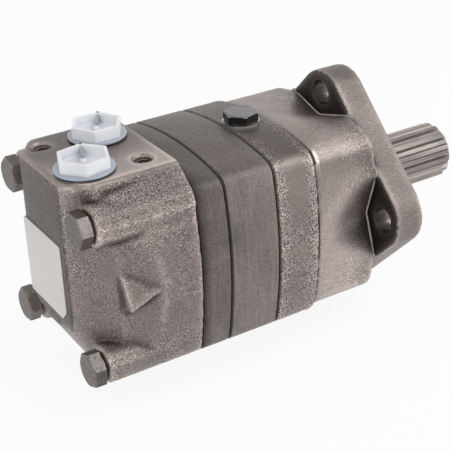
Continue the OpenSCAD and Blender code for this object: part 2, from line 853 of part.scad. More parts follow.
module valve_drive() {
    reach = norm([valve_head_x - disc_head_x, orbit_r]);
    color([0.45, 0.45, 0.46])
    translate([disc_head_x, 0, 0])
        rotate([0, -valve_tilt, 0]) {
            splined_head(0, valve_head_half, valve_minor, valve_major, valve_slot);
            splined_head(reach, valve_head_half, drive_minor, drive_major, drive_slot);
            rod(0, reach, valve_minor - 2);
        }
}

// Valve end

module channel_plate() {
    channel_drop = chamber_r - port_circle_r;
    channel_tilt = atan(channel_drop / plate_l);
    channel_l = norm([plate_l, channel_drop]);
    color([0.31, 0.3, 0.29])
    difference() {
        along_x(cover_x, plate_x) polygon(bulged_square(body_half, side_r, body_corner_r));
        rod(cover_x - 1, plate_x + 1, drive_major + 1.5);
        for (i = [1 : roller_count])
            rotate([roller_angle(i) + 180 / roller_count, 0, 0])
                translate([plate_x, chamber_r, 0])
                rotate([0, 0, channel_tilt])
                rod(-channel_l - 1.5, 1.5, channel_r);
        for (y = [-check_at, check_at]) {
            rod(cover_x - 1, cover_x + check_depth, check_bore_r, y, 0);
            translate([cover_x + check_depth - 1, y > 0 ? 0 : -check_at, 0])
                rotate([-90, 0, 0]) cylinder(h = check_at, r = 0.9);
        }
        tie_bolt_holes(cover_x - 1, plate_x + 1, bolt_r + 0.5);
        seal_groove(plate_x, -1);
    }
}

module check_seats() {
    color([0.6, 0.5, 0.3])
    for (y = [-check_at, check_at])
        difference() {
            rod(check_seat_x, check_seat_x + check_seat_l - 2.2, check_bore_r - 0.03, y, 0);
            rod(check_seat_x - 1, check_seat_x + check_seat_l, check_seat_r, y, 0);
        }
}

module check_ball(y) {
    x = check_seat_x - sqrt(check_ball_r * check_ball_r - check_seat_r * check_seat_r) - run_gap;
    color([0.8, 0.8, 0.82]) translate([x, y, 0]) sphere(r = check_ball_r, $fn = 32);
}

module disc_valve() {
    slot_w = 4.2;
    slot_depth = 5;
    color([0.5, 0.49, 0.47])
    difference() {
        rod(disc_rear, cover_x - run_gap, disc_r);
        along_x(disc_rear - 1, cover_x + 1) spline_slots(valve_minor, valve_major, valve_slot);
        for (i = [0 : STAR_LOBES - 1])
            rotate([360 / STAR_LOBES * i, 0, 0]) {
                rod(disc_rear - 1, cover_x + 1, slot_w / 2, port_circle_r - 2, 0);
                rotate([180 / STAR_LOBES, 0, 0])
                    translate([cover_x - run_gap - slot_depth, port_circle_r - 2, -slot_w / 2])
                    cube([slot_depth + 1, 10, slot_w]);
            }
    }
}

module balance_plate() {
    color([0.58, 0.57, 0.55])
    difference() {
        union() {
            rod(balance_rear, balance_rear + balance_w, balance_r);
            rod(hub_rear, balance_rear + 1, balance_hub_r);
        }
        rod(hub_rear - 1, balance_rear + balance_w + 1, balance_bore_r);
        difference() {
            rod(hub_rear + ring_groove_x - 1.2, hub_rear + ring_groove_x + 1.2, balance_hub_r + 1);
            rod(hub_rear + ring_groove_x - 2, hub_rear + ring_groove_x + 2, balance_hub_r - 2);
        }
        for (a = PIN_TURNS)
            rotate([a, 0, 0])
                rod(balance_rear - 1, balance_rear + pin_reach + 0.5, pin_r + fit_gap, spring_at, 0);
    }
}

module balance_ring() {
    color([0.08, 0.08, 0.08])
    ring_on_x(hub_rear + ring_groove_x, balance_hub_r - ring_groove_r, ring_groove_r + 0.03);
}

// One coil spring as a tube of six sides swept along a helix, closed at both ends
module coil_spring(x0, x1) {
    sides = 6;
    steps = 10 * spring_turns;
    rise = x1 - x0 - 2 * spring_wire;
    points = [
        for (i = [0 : steps], j = [0 : sides - 1])
            let (a = 360 * i / 10, b = 360 * j / sides, r = spring_r + spring_wire * cos(b))
            [x0 + spring_wire * (1 + sin(b)) + rise * i / steps, r * cos(a), r * sin(a)]
    ];
    side_faces = [
        for (i = [0 : steps - 1], j = [0 : sides - 1])
            let (n = (j + 1) % sides)
            each [
                [sides * i + j, sides * i + n, sides * (i + 1) + n],
                [sides * i + j, sides * (i + 1) + n, sides * (i + 1) + j]
            ]
    ];
    first_end = [for (j = [0 : sides - 1]) sides - 1 - j];
    last_end = [for (j = [0 : sides - 1]) sides * steps + j];
    polyhedron(points, concat([first_end], side_faces, [last_end]), convexity = 8);
}

module balance_springs() {
    color([0.6, 0.6, 0.62])
    for (i = [0 : spring_count - 1])
        rotate([360 / spring_count * i, 0, 0])
            translate([0, spring_at, 0]) coil_spring(chamber_rear - spring_pocket + 0.1, balance_rear - 0.1);
}

module guide_pins() {
    color([0.7, 0.7, 0.72])
    for (a = PIN_TURNS)
        rotate([a, 0, 0]) rod(chamber_rear - pin_depth, balance_rear + pin_reach, pin_r, spring_at, 0);
}

module section_rings() {
    color([0.08, 0.08, 0.08]) {
        ring_on_x(ring_x + groove_depth / 2, section_ring_r, section_cord_r);
        ring_on_x(plate_x - groove_depth / 2, section_ring_r, section_cord_r);
        ring_on_x(cover_x - groove_depth / 2, section_ring_r, section_cord_r);
    }
}

// End cover

module cover_walls() {
    reach = 60;
    wall_end_x = wall_knee_x + (reach - wall_knee_y) / wall_slope;
    bottom_end_x = rear_x + (reach + pad_low_z) / bottom_slope;
    intersection() {
        translate([0, 0, -LONG]) linear_extrude(2 * LONG) polygon([
            [rear_x, pad_half], [wall_knee_x, wall_knee_y], [wall_end_x, reach], [cover_x + 1, reach],
            [cover_x + 1, -reach], [wall_end_x, -reach], [wall_knee_x, -wall_knee_y], [rear_x, -pad_half]
        ]);
        translate([0, LONG, 0]) rotate([90, 0, 0]) linear_extrude(2 * LONG) polygon([
            [rear_x, LONG], [rear_x, pad_low_z], [bottom_end_x, -reach],
            [cover_x + 1, -reach], [cover_x + 1, LONG]
        ]);
    }
}

// The valley between the port block and the boss of an upper tie bolt. It runs out forwards.
module shoulder_valley() {
    translate([bolt_seat_x, 0, 0])
        rotate([0, -atan(valley_rise / seat_inset), 0])
        along_x(-12, 1.2 * seat_inset)
        difference() {
            polygon([
                [-port_face_half - 0.3, LONG], [-valley_y, bolt_at + 6],
                [-LONG, bolt_at + 6], [-LONG, LONG]
            ]);
            translate([-bolt_at, bolt_at]) circle(r = boss_r);
        }
}

// The wedge where the full width of the casting is left standing on the sloping wall
module side_rib() {
    y_in = -wall_knee_y + 2;
    y_out = -body_half + 0.2;
    points = [
        [wall_knee_x, y_in, rib_top_z], [wall_knee_x, y_in, rib_low_z],
        [wall_knee_x, y_out, rib_out_z], [wall_knee_x + rib_tip, y_out, 1.5],
        [wall_knee_x + rib_tip, y_in, rib_top_z], [wall_knee_x + rib_tip, y_in, rib_low_z]
    ];
    polyhedron(points, [[0, 2, 1], [0, 4, 3, 2], [1, 2, 3, 5], [3, 4, 5], [0, 1, 5, 4]]);
}

module end_cover() {
    color([0.46, 0.43, 0.41])
    difference() {
        intersection() {
            along_x(rear_x, cover_x) polygon(cover_outline());
            union() {
                cover_walls();
                tie_bolt_holes(bolt_seat_x, bolt_seat_x + boss_l, boss_r);
                side_rib();
                mirror([0, 1, 0]) side_rib();
                along_x(rear_x, rear_x + pad_tab_l) polygon([
                    [-7, pad_low_z + 4], [-6, pad_low_z - pad_tab],
                    [11, pad_low_z - pad_tab], [12.5, pad_low_z + 4]
                ]);
            }
        }
        shoulder_valley();
        mirror([0, 1, 0]) shoulder_valley();
        tie_bolt_holes(rear_x - 9, bolt_seat_x, spot_r);
        tie_bolt_holes(bolt_seat_x - 1, cover_x + 1, bolt_r + 0.5);
        rod(chamber_rear, cover_x + 1, valve_chamber_r);
        rod(hub_rear - 1, cover_x, balance_hub_r + fit_gap);
        rod(rear_passage_end, cover_x, rear_passage_r);
        for (i = [0 : spring_count - 1])
            rotate([360 / spring_count * i, 0, 0])
                rod(chamber_rear - spring_pocket, cover_x, spring_pocket_r, spring_at, 0);
        for (a = PIN_TURNS)
            rotate([a, 0, 0]) rod(chamber_rear - pin_depth - 0.2, cover_x, pin_r + fit_gap, spring_at, 0);
        seal_groove(cover_x, -1);
        for (s = [-1, 1]) {
            down(port_x + s * port_dx, s * port_dy, port_face_z, port_spot, port_spot_r);
            down(port_x + s * port_dx, s * port_dy, port_face_z, port_depth, port_r);
            down(port_x + s * bracket_dx, -s * bracket_dy, port_face_z, bracket_depth, bracket_hole_r);
        }
        down(port_x - port_dx, -port_dy, port_face_z, port_face_z + 4, port_drill_r);
        down(port_x + port_dx, port_dy, port_face_z, port_face_z - 20, port_drill_r);
    }
}

// Fasteners and trim

module hexagon_x(x0, x1, across) {
    translate([x0, 0, 0]) rotate([0, 90, 0]) cylinder(h = x1 - x0, d = across / cos(30), $fn = 6);
}

module tie_bolts() {
    head_r = bolt_af / 2 / cos(30);
    color([0.42, 0.39, 0.36])
    at_tie_bolts() {
        intersection() {
            hexagon_x(bolt_seat_x - bolt_head_h, bolt_seat_x, bolt_af);
            lathe([
                [0, bolt_seat_x - bolt_head_h], [head_r - 1.6, bolt_seat_x - bolt_head_h],
                [head_r + 0.4, bolt_seat_x - bolt_head_h + head_bevel],
                [head_r + 0.4, bolt_seat_x], [0, bolt_seat_x]
            ]);
        }
        rod(bolt_seat_x - 1, bolt_tip_x, bolt_r);
    }
}

module drain_plug() {
    z0 = drain_spot_z + drain_washer_t;
    head_r = drain_af / 2 / cos(30);
    color([0.1, 0.1, 0.1])
    translate([drain_x, 0, z0]) {
        intersection() {
            rotate(15) cylinder(h = drain_head_h, r = head_r, $fn = 6);
            rotate_extrude() polygon([
                [0, 0], [head_r + 0.4, 0], [head_r + 0.4, drain_head_h - head_bevel],
                [head_r - 1.6, drain_head_h], [0, drain_head_h]
            ]);
        }
        translate([0, 0, -drain_l]) cylinder(h = drain_l + 1, r = drain_r);
    }
}

module drain_washer() {
    color([0.75, 0.74, 0.72])
    translate([drain_x, 0, drain_spot_z])
        difference() {
            cylinder(h = drain_washer_t, r = drain_washer_r);
            translate([0, 0, -1]) cylinder(h = drain_washer_t + 2, r = drain_r + fit_gap);
        }
}

// A hexagon cup with a nub and a web to one corner, on a thin disc and a shank in the port
module transit_plug(x, y, turn) {
    z0 = port_face_z - port_spot + plug_lift;
    cup_r = plug_af / 2 / cos(30);
    color([0.93, 0.94, 0.95])
    translate([x, y, z0])
    rotate(turn) {
        difference() {
            union() {
                cylinder(h = plug_disc_t, d = plug_disc_d);
                cylinder(h = plug_h, r = cup_r, $fn = 6);
                translate([0, 0, -plug_shank_l]) cylinder(h = plug_shank_l + 1, r = plug_shank_r);
            }
            translate([0, 0, plug_floor]) cylinder(h = plug_h, r = cup_r - plug_wall / cos(30), $fn = 6);
            translate([0, 0, -plug_shank_l - 1]) cylinder(h = plug_shank_l, r = plug_shank_r - 1.6);
        }
        translate([0, -plug_web / 2, 1]) cube([cup_r - 1.2, plug_web, plug_h - 1.8]);
        cylinder(h = plug_h - 1.5, r = plug_nub_r);
    }
}

module plug_ring(x, y) {
    z0 = port_face_z - port_spot + plug_lift / 2;
    color([0.08, 0.08, 0.08])
    translate([x, y, z0]) rotate_extrude() translate([plug_ring_r, 0]) circle(r = plug_cord_r, $fn = 24);
}

module label_plate() {
    color([0.9, 0.89, 0.88])
    along_x(rear_x - label_t, rear_x)
        translate([label_y, label_z])
        polygon([
            [label_w / 2, -label_h / 2], [label_w / 2, label_h / 2], [-label_w / 2, label_h / 2],
            [-label_w / 2, -label_h / 2 + label_cut], [-label_w / 2 + label_cut, -label_h / 2]
        ]);
}

front_housing();
front_cover();
front_cover_screws();
front_cover_ring();
dust_seal();
shaft_seal();
output_shaft();
front_bearing_cone();
front_bearing_cup();
front_bearing_cage();
front_bearing_rollers();
rear_bearing_cone();
rear_bearing_cup();
rear_bearing_cage();
rear_bearing_rollers();
lock_washer();
bearing_nut();
wear_plate();
cardan_shaft();
gear_ring();
star_gear();
drive_spacer();
valve_drive();
channel_plate();
check_seats();
check_ball(-check_at);  // check_ball_left
check_ball(check_at);  // check_ball_right
disc_valve();
balance_plate();
balance_ring();
balance_springs();
guide_pins();
end_cover();
section_rings();
tie_bolts();
drain_plug();
drain_washer();
transit_plug(port_x - port_dx, -port_dy, rear_plug_turn);  // rear_transit_plug
plug_ring(port_x - port_dx, -port_dy);  // rear_plug_ring
transit_plug(port_x + port_dx, port_dy, front_plug_turn);  // front_transit_plug
plug_ring(port_x + port_dx, port_dy);  // front_plug_ring
label_plate();
for (i = [1 : roller_count]) gear_roller(i);
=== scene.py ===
"""Looks of an orbital hydraulic motor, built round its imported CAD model.

X runs along the shaft, out of the flange, and Z points up through the port face.
Each piece has an operator of its own, and the panel in the sidebar lists them.
"""

import math

import bmesh
import bpy
import numpy as np
from bpy.props import FloatProperty, FloatVectorProperty, IntProperty, PointerProperty
from mathutils import Matrix, Vector, noise
from mathutils.bvhtree import BVHTree


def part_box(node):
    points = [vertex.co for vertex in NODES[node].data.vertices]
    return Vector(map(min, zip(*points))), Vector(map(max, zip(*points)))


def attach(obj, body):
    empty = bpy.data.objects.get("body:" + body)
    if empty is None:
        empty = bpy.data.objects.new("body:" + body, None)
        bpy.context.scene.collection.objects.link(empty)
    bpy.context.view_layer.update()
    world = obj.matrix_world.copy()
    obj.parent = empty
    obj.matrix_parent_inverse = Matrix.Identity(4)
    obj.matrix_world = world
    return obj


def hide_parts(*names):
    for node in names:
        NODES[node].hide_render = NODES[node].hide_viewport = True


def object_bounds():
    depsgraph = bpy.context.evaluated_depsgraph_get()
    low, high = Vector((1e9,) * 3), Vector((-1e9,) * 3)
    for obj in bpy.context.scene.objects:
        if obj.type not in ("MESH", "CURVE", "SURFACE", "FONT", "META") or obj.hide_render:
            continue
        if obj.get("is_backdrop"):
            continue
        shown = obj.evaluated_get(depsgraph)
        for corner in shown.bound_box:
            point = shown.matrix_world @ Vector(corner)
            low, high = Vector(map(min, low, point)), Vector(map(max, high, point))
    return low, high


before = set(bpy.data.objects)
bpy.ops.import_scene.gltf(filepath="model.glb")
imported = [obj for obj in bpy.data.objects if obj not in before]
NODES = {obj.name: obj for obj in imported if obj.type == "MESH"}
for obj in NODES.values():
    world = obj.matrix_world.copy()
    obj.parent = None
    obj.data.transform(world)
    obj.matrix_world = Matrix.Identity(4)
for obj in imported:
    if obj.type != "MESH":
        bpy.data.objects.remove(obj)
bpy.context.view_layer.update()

bl_info = {
    "name": "Orbital motor looks",
    "version": (1, 0, 0),
    "blender": (4, 5, 0),
    "location": "View3D > Sidebar > Motor",
    "description": "Builds the visual pieces of an orbital hydraulic motor round its CAD frame",
    "category": "Object",
}

MM = 0.001


def low(node, axis):
    """A CAD node's lowest coordinate on an axis, in millimetres."""
    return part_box(node)[0][axis] / MM


def high(node, axis):
    """A CAD node's highest coordinate on an axis, in millimetres."""
    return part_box(node)[1][axis] / MM


# Stations along the shaft and places of holes, in millimetres
RING_X = high("gear_ring", 0)
COVER_X = high("end_cover", 0)
REAR_X = low("end_cover", 0)
NECK_X = -17.0
BAND_X = -54.5
PORT_FACE_Z = high("end_cover", 2)
PORT_X = (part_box("rear_plug_ring")[0][0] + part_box("front_plug_ring")[1][0]) / 2 / MM
PORT_DX, PORT_DY = 11.1, 15.7
BRACKET_DX, BRACKET_DY = 16.3, 20.9
BOLT_AT = 37.1
BOLT_SEAT_X = COVER_X - 51.8
BOLT_TIP_X = high("tie_bolts", 0)
FLANGE_HOLE_AT = 53.2
HOLE_DEPTH = 14.5


class MotorColours(bpy.types.PropertyGroup):
    iron: FloatVectorProperty(
        name="Casting",
        description="Phosphated cast iron of the housing and the end cover",
        subtype="COLOR",
        default=(0.215, 0.184, 0.17),
    )
    dark_iron: FloatVectorProperty(
        name="Ring and plate",
        description="Darker iron of the gear ring and the channel plate",
        subtype="COLOR",
        default=(0.15, 0.13, 0.119),
    )
    turned: FloatVectorProperty(
        name="Turned faces",
        description="Machined iron in holes, on seats and on the pilot",
        subtype="COLOR",
        default=(0.26, 0.235, 0.215),
    )
    bolt: FloatVectorProperty(
        name="Tie bolts",
        description="Phosphated bolt steel",
        subtype="COLOR",
        default=(0.3, 0.263, 0.246),
    )
    shaft: FloatVectorProperty(
        name="Shaft",
        description="Bright steel of the output shaft",
        subtype="COLOR",
        default=(0.27, 0.24, 0.225),
    )
    black: FloatVectorProperty(
        name="Black steel",
        description="Blackened drain plug and socket screws",
        subtype="COLOR",
        default=(0.035, 0.034, 0.035),
    )
    rubber: FloatVectorProperty(
        name="Rubber",
        description="Seals and rings",
        subtype="COLOR",
        default=(0.018, 0.018, 0.018),
    )
    plug: FloatVectorProperty(
        name="Transit plugs",
        description="White plastic of the hexagon cups",
        subtype="COLOR",
        default=(0.88, 0.89, 0.92),
    )
    disc: FloatVectorProperty(
        name="Plug discs",
        description="Bluish plastic of the thin discs under the cups",
        subtype="COLOR",
        default=(0.42, 0.465, 0.54),
    )
    label: FloatVectorProperty(
        name="Label",
        description="Bare label plate",
        subtype="COLOR",
        default=(0.76, 0.735, 0.715),
    )
    steel: FloatVectorProperty(
        name="Inner steel",
        description="Gear set, bearings and drive shafts",
        subtype="COLOR",
        default=(0.42, 0.42, 0.43),
    )


class MotorSizes(bpy.types.PropertyGroup):
    casting_cell: FloatProperty(
        name="Casting cell",
        description="Edge length of a casting's faces",
        default=0.95 * MM,
        unit="LENGTH",
    )
    skin_depth: FloatProperty(
        name="Skin depth",
        description="Height of the unevenness that the sand leaves",
        default=0.12 * MM,
        unit="LENGTH",
    )
    edge_break: FloatProperty(
        name="Edge break",
        description="Width of the broken edges of ring and plate",
        default=1.15 * MM,
        unit="LENGTH",
    )
    bolt_across: FloatProperty(
        name="Bolt head",
        description="Width across flats of a tie bolt's head",
        default=16.0 * MM,
        unit="LENGTH",
    )
    plug_across: FloatProperty(
        name="Transit plug",
        description="Width across flats of a transit plug's cup",
        default=23.0 * MM,
        unit="LENGTH",
    )
    port_pitch: FloatProperty(
        name="Port thread",
        description="Pitch of the port threads",
        default=1.814 * MM,
        unit="LENGTH",
    )
    bracket_pitch: FloatProperty(
        name="Bracket thread",
        description="Pitch of the threads in the bracket holes",
        default=1.5 * MM,
        unit="LENGTH",
    )
    casting_passes: IntProperty(
        name="Casting passes",
        description="Rounds of smoothing that soften a casting's edges",
        default=5,
        min=0,
    )
    flow_passes: IntProperty(
        name="Flow passes",
        description="Rounds of smoothing where one face runs softly into the next",
        default=180,
        min=0,
    )
    # The darkness in the broad hollows is painted shade.
    wide_passes: IntProperty(
        name="Wide passes",
        description="Rounds of smoothing that find the broad hollows, which stay darker",
        default=14,
        min=0,
    )
    spline_teeth: IntProperty(
        name="Spline teeth",
        description="Teeth of the output spline",
        default=14,
        min=6,
    )


def sizes():
    return bpy.context.scene.motor_sizes


def colours():
    return bpy.context.scene.motor_colours


# Materials


class Tree:
    """A material's node tree, with short calls for the nodes that the finishes share."""

    def __init__(self, name):
        self.material = bpy.data.materials.new(name)
        self.material.use_nodes = True
        self.nodes = self.material.node_tree.nodes
        self.links = self.material.node_tree.links
        self.shader = self.nodes["Principled BSDF"]
        self.place = self.nodes.new("ShaderNodeTexCoord").outputs["Object"]

    def link(self, source, target):
        self.links.new(source, target)

    def noise(self, scale, detail, rough, place=None):
        node = self.nodes.new("ShaderNodeTexNoise")
        node.inputs["Scale"].default_value = scale
        node.inputs["Detail"].default_value = detail
        node.inputs["Roughness"].default_value = rough
        self.link(place or self.place, node.inputs["Vector"])
        return node.outputs["Fac"]

    def along_x(self):
        node = self.nodes.new("ShaderNodeSeparateXYZ")
        self.link(self.place, node.inputs[0])
        return node.outputs["X"]

    def stretched(self, factors):
        node = self.nodes.new("ShaderNodeMapping")
        node.inputs["Scale"].default_value = factors
        self.link(self.place, node.inputs["Vector"])
        return node.outputs["Vector"]

    def span(self, value, low_in, high_in, low_out, high_out):
        node = self.nodes.new("ShaderNodeMapRange")
        for socket, number in zip(node.inputs[1:5], (low_in, high_in, low_out, high_out)):
            socket.default_value = number
        self.link(value, node.inputs[0])
        return node.outputs[0]

    def set(self, socket, value):
        """Gives a socket a number or links another node's output to it."""
        if isinstance(value, (int, float)):
            socket.default_value = value
        else:
            self.link(value, socket)

    def math(self, kind, a, b):
        node = self.nodes.new("ShaderNodeMath")
        node.operation = kind
        self.set(node.inputs[0], a)
        self.set(node.inputs[1], b)
        return node.outputs[0]

    def ramp(self, value, stops):
        node = self.nodes.new("ShaderNodeValToRGB")
        ramp = node.color_ramp
        while len(ramp.elements) < len(stops):
            ramp.elements.new(0.5)
        for element, (position, colour) in zip(ramp.elements, stops):
            element.position = position
            element.color = (*colour, 1.0)
        self.link(value, node.inputs[0])
        return node.outputs[0]

    def scaled(self, colour, value):
        node = self.nodes.new("ShaderNodeVectorMath")
        node.operation = "SCALE"
        self.link(colour, node.inputs[0])
        self.link(value, node.inputs["Scale"])
        return node.outputs[0]

    def mark(self, name):
        node = self.nodes.new("ShaderNodeAttribute")
        node.attribute_name = name
        return node.outputs["Fac"]

    def bump(self, height, distance, strength):
        node = self.nodes.new("ShaderNodeBump")
        node.inputs["Distance"].default_value = distance
        self.set(node.inputs["Strength"], strength)
        self.link(height, node.inputs["Height"])
        self.link(node.outputs[0], self.shader.inputs["Normal"])

    def put(self, socket, value):
        self.set(self.shader.inputs[socket], value)


def tint(colour, factor=1.0):
    return tuple(min(1.0, c * factor) for c in colour)


def casting_finish(name, colour):
    """Phosphated cast iron: the mesh's marks set its painted light and shade, its edges lighter
    with wear and painted highlight, its hollows darker with painted shade, and its grain.
    """
    t = Tree(name)
    grain, shade, edge = t.mark("grain"), t.mark("shade"), t.mark("edge")
    fine = t.noise(2100, 2.0, 0.7)
    coarse = t.noise(1300, 2.0, 0.6)
    broad = t.noise(45, 3.0, 0.5)
    height = t.math("ADD", t.math("MULTIPLY", coarse, 0.4), t.math("MULTIPLY", fine, 0.6))
    contrast = t.math("MULTIPLY", t.math("SUBTRACT", height, 0.5), grain)
    tone = t.ramp(
        t.math("ADD", contrast, 0.5),
        [
            (0.36, tint(colour, 0.25)),
            (0.46, tint(colour, 0.7)),
            (0.54, tint(colour, 1.22)),
            (0.65, tint(colour, 2.5)),
        ],
    )
    # Lighter on convex edges as wear and painted highlight, darker in hollows as painted shade,
    # with a broad random tone on top.
    wear_and_painted_light = t.math("ADD", t.span(edge, -1, 1, 0.3, 1.7), t.span(broad, 0.3, 0.7, -0.12, 0.12))
    # The shade mark multiplies painted light and shade into the colour.
    t.put("Base Color", t.scaled(tone, t.math("MULTIPLY", shade, wear_and_painted_light)))
    t.put("Metallic", 0.9)
    t.put("Roughness", t.span(height, 0.35, 0.65, 0.48, 0.36))
    t.bump(height, 0.35 * MM, t.math("MINIMUM", t.math("MULTIPLY", grain, 0.7), 1.0))
    return t.material


def ground_finish(name, colour, scales, rough=0.45, metallic=0.75, shaded=False, painted_shadow_x=None):
    """Ground or milled iron with fine lines, with a painted shadow beside the joint at the x given,
    and painted light and shade from the mesh's shade mark if shaded.
    """
    t = Tree(name)
    lines = t.noise(420, 4.0, 0.6, t.stretched(scales))
    fine = t.noise(1700, 2.0, 0.6)
    broad = t.noise(28, 3.0, 0.5)
    height = t.math("ADD", t.math("MULTIPLY", lines, 0.3), t.math("MULTIPLY", fine, 0.7))
    tone = t.ramp(height, [(0.36, tint(colour, 0.66)), (0.5, colour), (0.64, tint(colour, 1.4))])
    level = t.span(broad, 0.3, 0.7, 0.74, 1.26)
    # The shade mark paints light and shade onto the colour.
    if shaded:
        level = t.math("MULTIPLY", level, t.mark("shade"))
    # Painted shadow of the next part: half as light up to 1.5 mm from the joint, fading out by 5.5
    # mm.
    if painted_shadow_x:
        painted_shadow = t.span(t.along_x(), (painted_shadow_x + 1.5) * MM, (painted_shadow_x + 5.5) * MM, 0.5, 1.0)
        level = t.math("MULTIPLY", level, painted_shadow)
    t.put("Base Color", t.scaled(tone, level))
    t.put("Metallic", metallic)
    t.put("Roughness", t.span(height, 0.3, 0.7, rough + 0.1, rough - 0.05))
    t.bump(height, 0.12 * MM, 0.35)
    return t.material


def steel_finish(name, colour, scales, rough=0.3, metallic=0.95):
    """Bright steel with fine lines along the direction it was drawn or turned in."""
    t = Tree(name)
    lines = t.noise(620, 3.0, 0.6, t.stretched(scales))
    broad = t.noise(60, 2.0, 0.5)
    tone = t.ramp(lines, [(0.3, tint(colour, 0.78)), (0.5, colour), (0.72, tint(colour, 1.28))])
    t.put("Base Color", t.scaled(tone, t.span(broad, 0.3, 0.7, 0.9, 1.08)))
    t.put("Metallic", metallic)
    t.put("Roughness", t.span(lines, 0.3, 0.7, rough + 0.08, rough - 0.04))
    t.bump(lines, 0.05 * MM, 0.3)
    return t.material


def coated_finish(name, colour, rough, gloss=0.5):
    """Rubber, paint or blackened steel: one tone with a fine uneven skin."""
    t = Tree(name)
    t.put("Specular IOR Level", gloss)
    skin = t.noise(700, 3.0, 0.6)
    t.put("Base Color", t.ramp(skin, [(0.3, tint(colour, 0.7)), (0.7, tint(colour, 1.35))]))
    t.put("Roughness", t.span(skin, 0.3, 0.7, rough + 0.07, rough - 0.07))
    t.bump(skin, 0.05 * MM, 0.35)
    return t.material


def plastic_finish(name, colour, rough=0.42):
    """Milky moulded plastic that lets some light through."""
    t = Tree(name)
    cloud = t.noise(70, 3.0, 0.5)
    skin = t.noise(900, 2.0, 0.5)
    t.put("Base Color", t.ramp(cloud, [(0.3, tint(colour, 0.93)), (0.7, tint(colour, 1.05))]))
    t.put("Roughness", t.span(skin, 0.3, 0.7, rough + 0.05, rough - 0.05))
    t.put("Subsurface Weight", 0.35)
    t.put("Subsurface Scale", 2.0 * MM)
    t.shader.inputs["Subsurface Radius"].default_value = (1.0, 1.0, 1.0)
    t.bump(skin, 0.03 * MM, 0.2)
    return t.material


def label_finish(name, colour):
    """A satin foil plate with a barely uneven face."""
    t = Tree(name)
    fibre = t.noise(800, 4.0, 0.6)
    broad = t.noise(35, 2.0, 0.5)
    tone = t.ramp(fibre, [(0.3, tint(colour, 0.95)), (0.7, tint(colour, 1.04))])
    t.put("Base Color", t.scaled(tone, t.span(broad, 0.3, 0.7, 0.96, 1.03)))
    t.put("Roughness", t.span(fibre, 0.3, 0.7, 0.5, 0.4))
    t.bump(fibre, 0.02 * MM, 0.2)
    return t.material


LINES_ALONG_X = (0.08, 1.0, 1.0)
LINES_ROUND_X = (2.2, 0.25, 0.25)
LINES_DOWN = (1.6, 1.0, 0.1)
EVEN = (1.0, 1.0, 1.0)
BRASS, ZINC, GATE = (0.55, 0.4, 0.17), (0.6, 0.58, 0.56), (0.02, 0.025, 0.035)


def finish_settings():
    """Each finish's maker, its colour and what else the maker takes."""
    c = colours()
    section = {"scales": LINES_DOWN, "shaded": True}
    return {
        "cast_iron": (casting_finish, tint(c.iron), {}),
        "ring_iron": (ground_finish, tint(c.dark_iron, 1.5), section),
        "plate_iron": (ground_finish, tint(c.dark_iron, 1.15), {**section, "painted_shadow_x": COVER_X}),
        # Painted shade in the grooves of the broken edges between the sections.
        "joint_edge": (ground_finish, tint(c.dark_iron, 0.35), {"scales": EVEN}),
        # Painted shade in the mouths of the flange holes.
        "mouth_iron": (ground_finish, tint(c.iron, 0.3), {"scales": EVEN, "rough": 0.5}),
        "turned_iron": (
            ground_finish,
            tint(c.turned),
            {"scales": LINES_ROUND_X, "rough": 0.35, "metallic": 0.85},
        ),
        "bored_iron": (steel_finish, tint(c.turned, 0.9), {"scales": LINES_ROUND_X, "rough": 0.2}),
        # Light colour that paints the highlight along the neck's rim lines.
        "rim_iron": (ground_finish, tint(c.iron, 2.0), {"scales": EVEN, "metallic": 0.4}),
        "bolt_steel": (steel_finish, tint(c.bolt), {"scales": EVEN, "metallic": 0.85}),
        # Darker copies of the bolt steel: painted shade on faces turned away from the light.
        "bolt_face": (
            steel_finish, tint(c.bolt, 0.42), {"scales": EVEN, "rough": 0.35, "metallic": 0.85}
        ),
        "bolt_edge": (
            steel_finish, tint(c.bolt, 0.68), {"scales": EVEN, "rough": 0.35, "metallic": 0.85}
        ),
        "shaft_steel": (steel_finish, tint(c.shaft), {"scales": LINES_ALONG_X}),
        "inner_steel": (steel_finish, tint(c.steel), {"scales": LINES_ROUND_X, "rough": 0.28}),
        "pressed_steel": (
            ground_finish, tint(c.steel, 0.7), {"scales": EVEN, "rough": 0.4, "metallic": 0.9}
        ),
        "seat_brass": (steel_finish, BRASS, {"scales": LINES_ROUND_X, "rough": 0.32}),
        "black_steel": (coated_finish, tint(c.black, 0.3), {"rough": 0.3, "gloss": 0.2}),
        # Lighter copy of the black steel: painted light on the drain plug's top.
        "black_top": (coated_finish, tint(c.black, 5.0), {"rough": 0.4}),
        "washer_metal": (steel_finish, ZINC, {"scales": EVEN}),
        "rubber": (coated_finish, tint(c.rubber), {"rough": 0.6}),
        "plug_plastic": (plastic_finish, tint(c.plug), {}),
        "disc_plastic": (plastic_finish, tint(c.disc), {"rough": 0.36}),
        # Darker bluish plastic on the plug's web: painted shadow in the cup's corner.
        "web_plastic": (plastic_finish, tint(c.disc, 0.8), {}),
        "gate_mark": (coated_finish, GATE, {"rough": 0.4}),
        "label_foil": (label_finish, tint(c.label), {}),
    }


def finish(name):
    """The material of a finish, made when first asked for."""
    full = name + "_finish"
    made = bpy.data.materials.get(full)
    if made:
        return made
    maker, colour, settings = finish_settings()[name]
    return maker(full, colour, **settings)


# Meshes

# What counts as a full edge, drawn lighter, and a full hollow, drawn darker with painted shade, and
# how fine the skin and its patches are
EDGE_HEIGHT, HOLLOW_DEPTH = 0.2 * MM, 1.1 * MM
SKIN_SCALE, PATCH_SCALE = 420.0, 95.0


def new_piece(name, mesh, *materials):
    """An object at the origin, with its place in its mesh."""
    piece = bpy.data.objects.new(name, mesh)
    bpy.context.scene.collection.objects.link(piece)
    mesh.name = name
    mesh.materials.clear()
    for material in materials:
        mesh.materials.append(finish(material))
    return piece


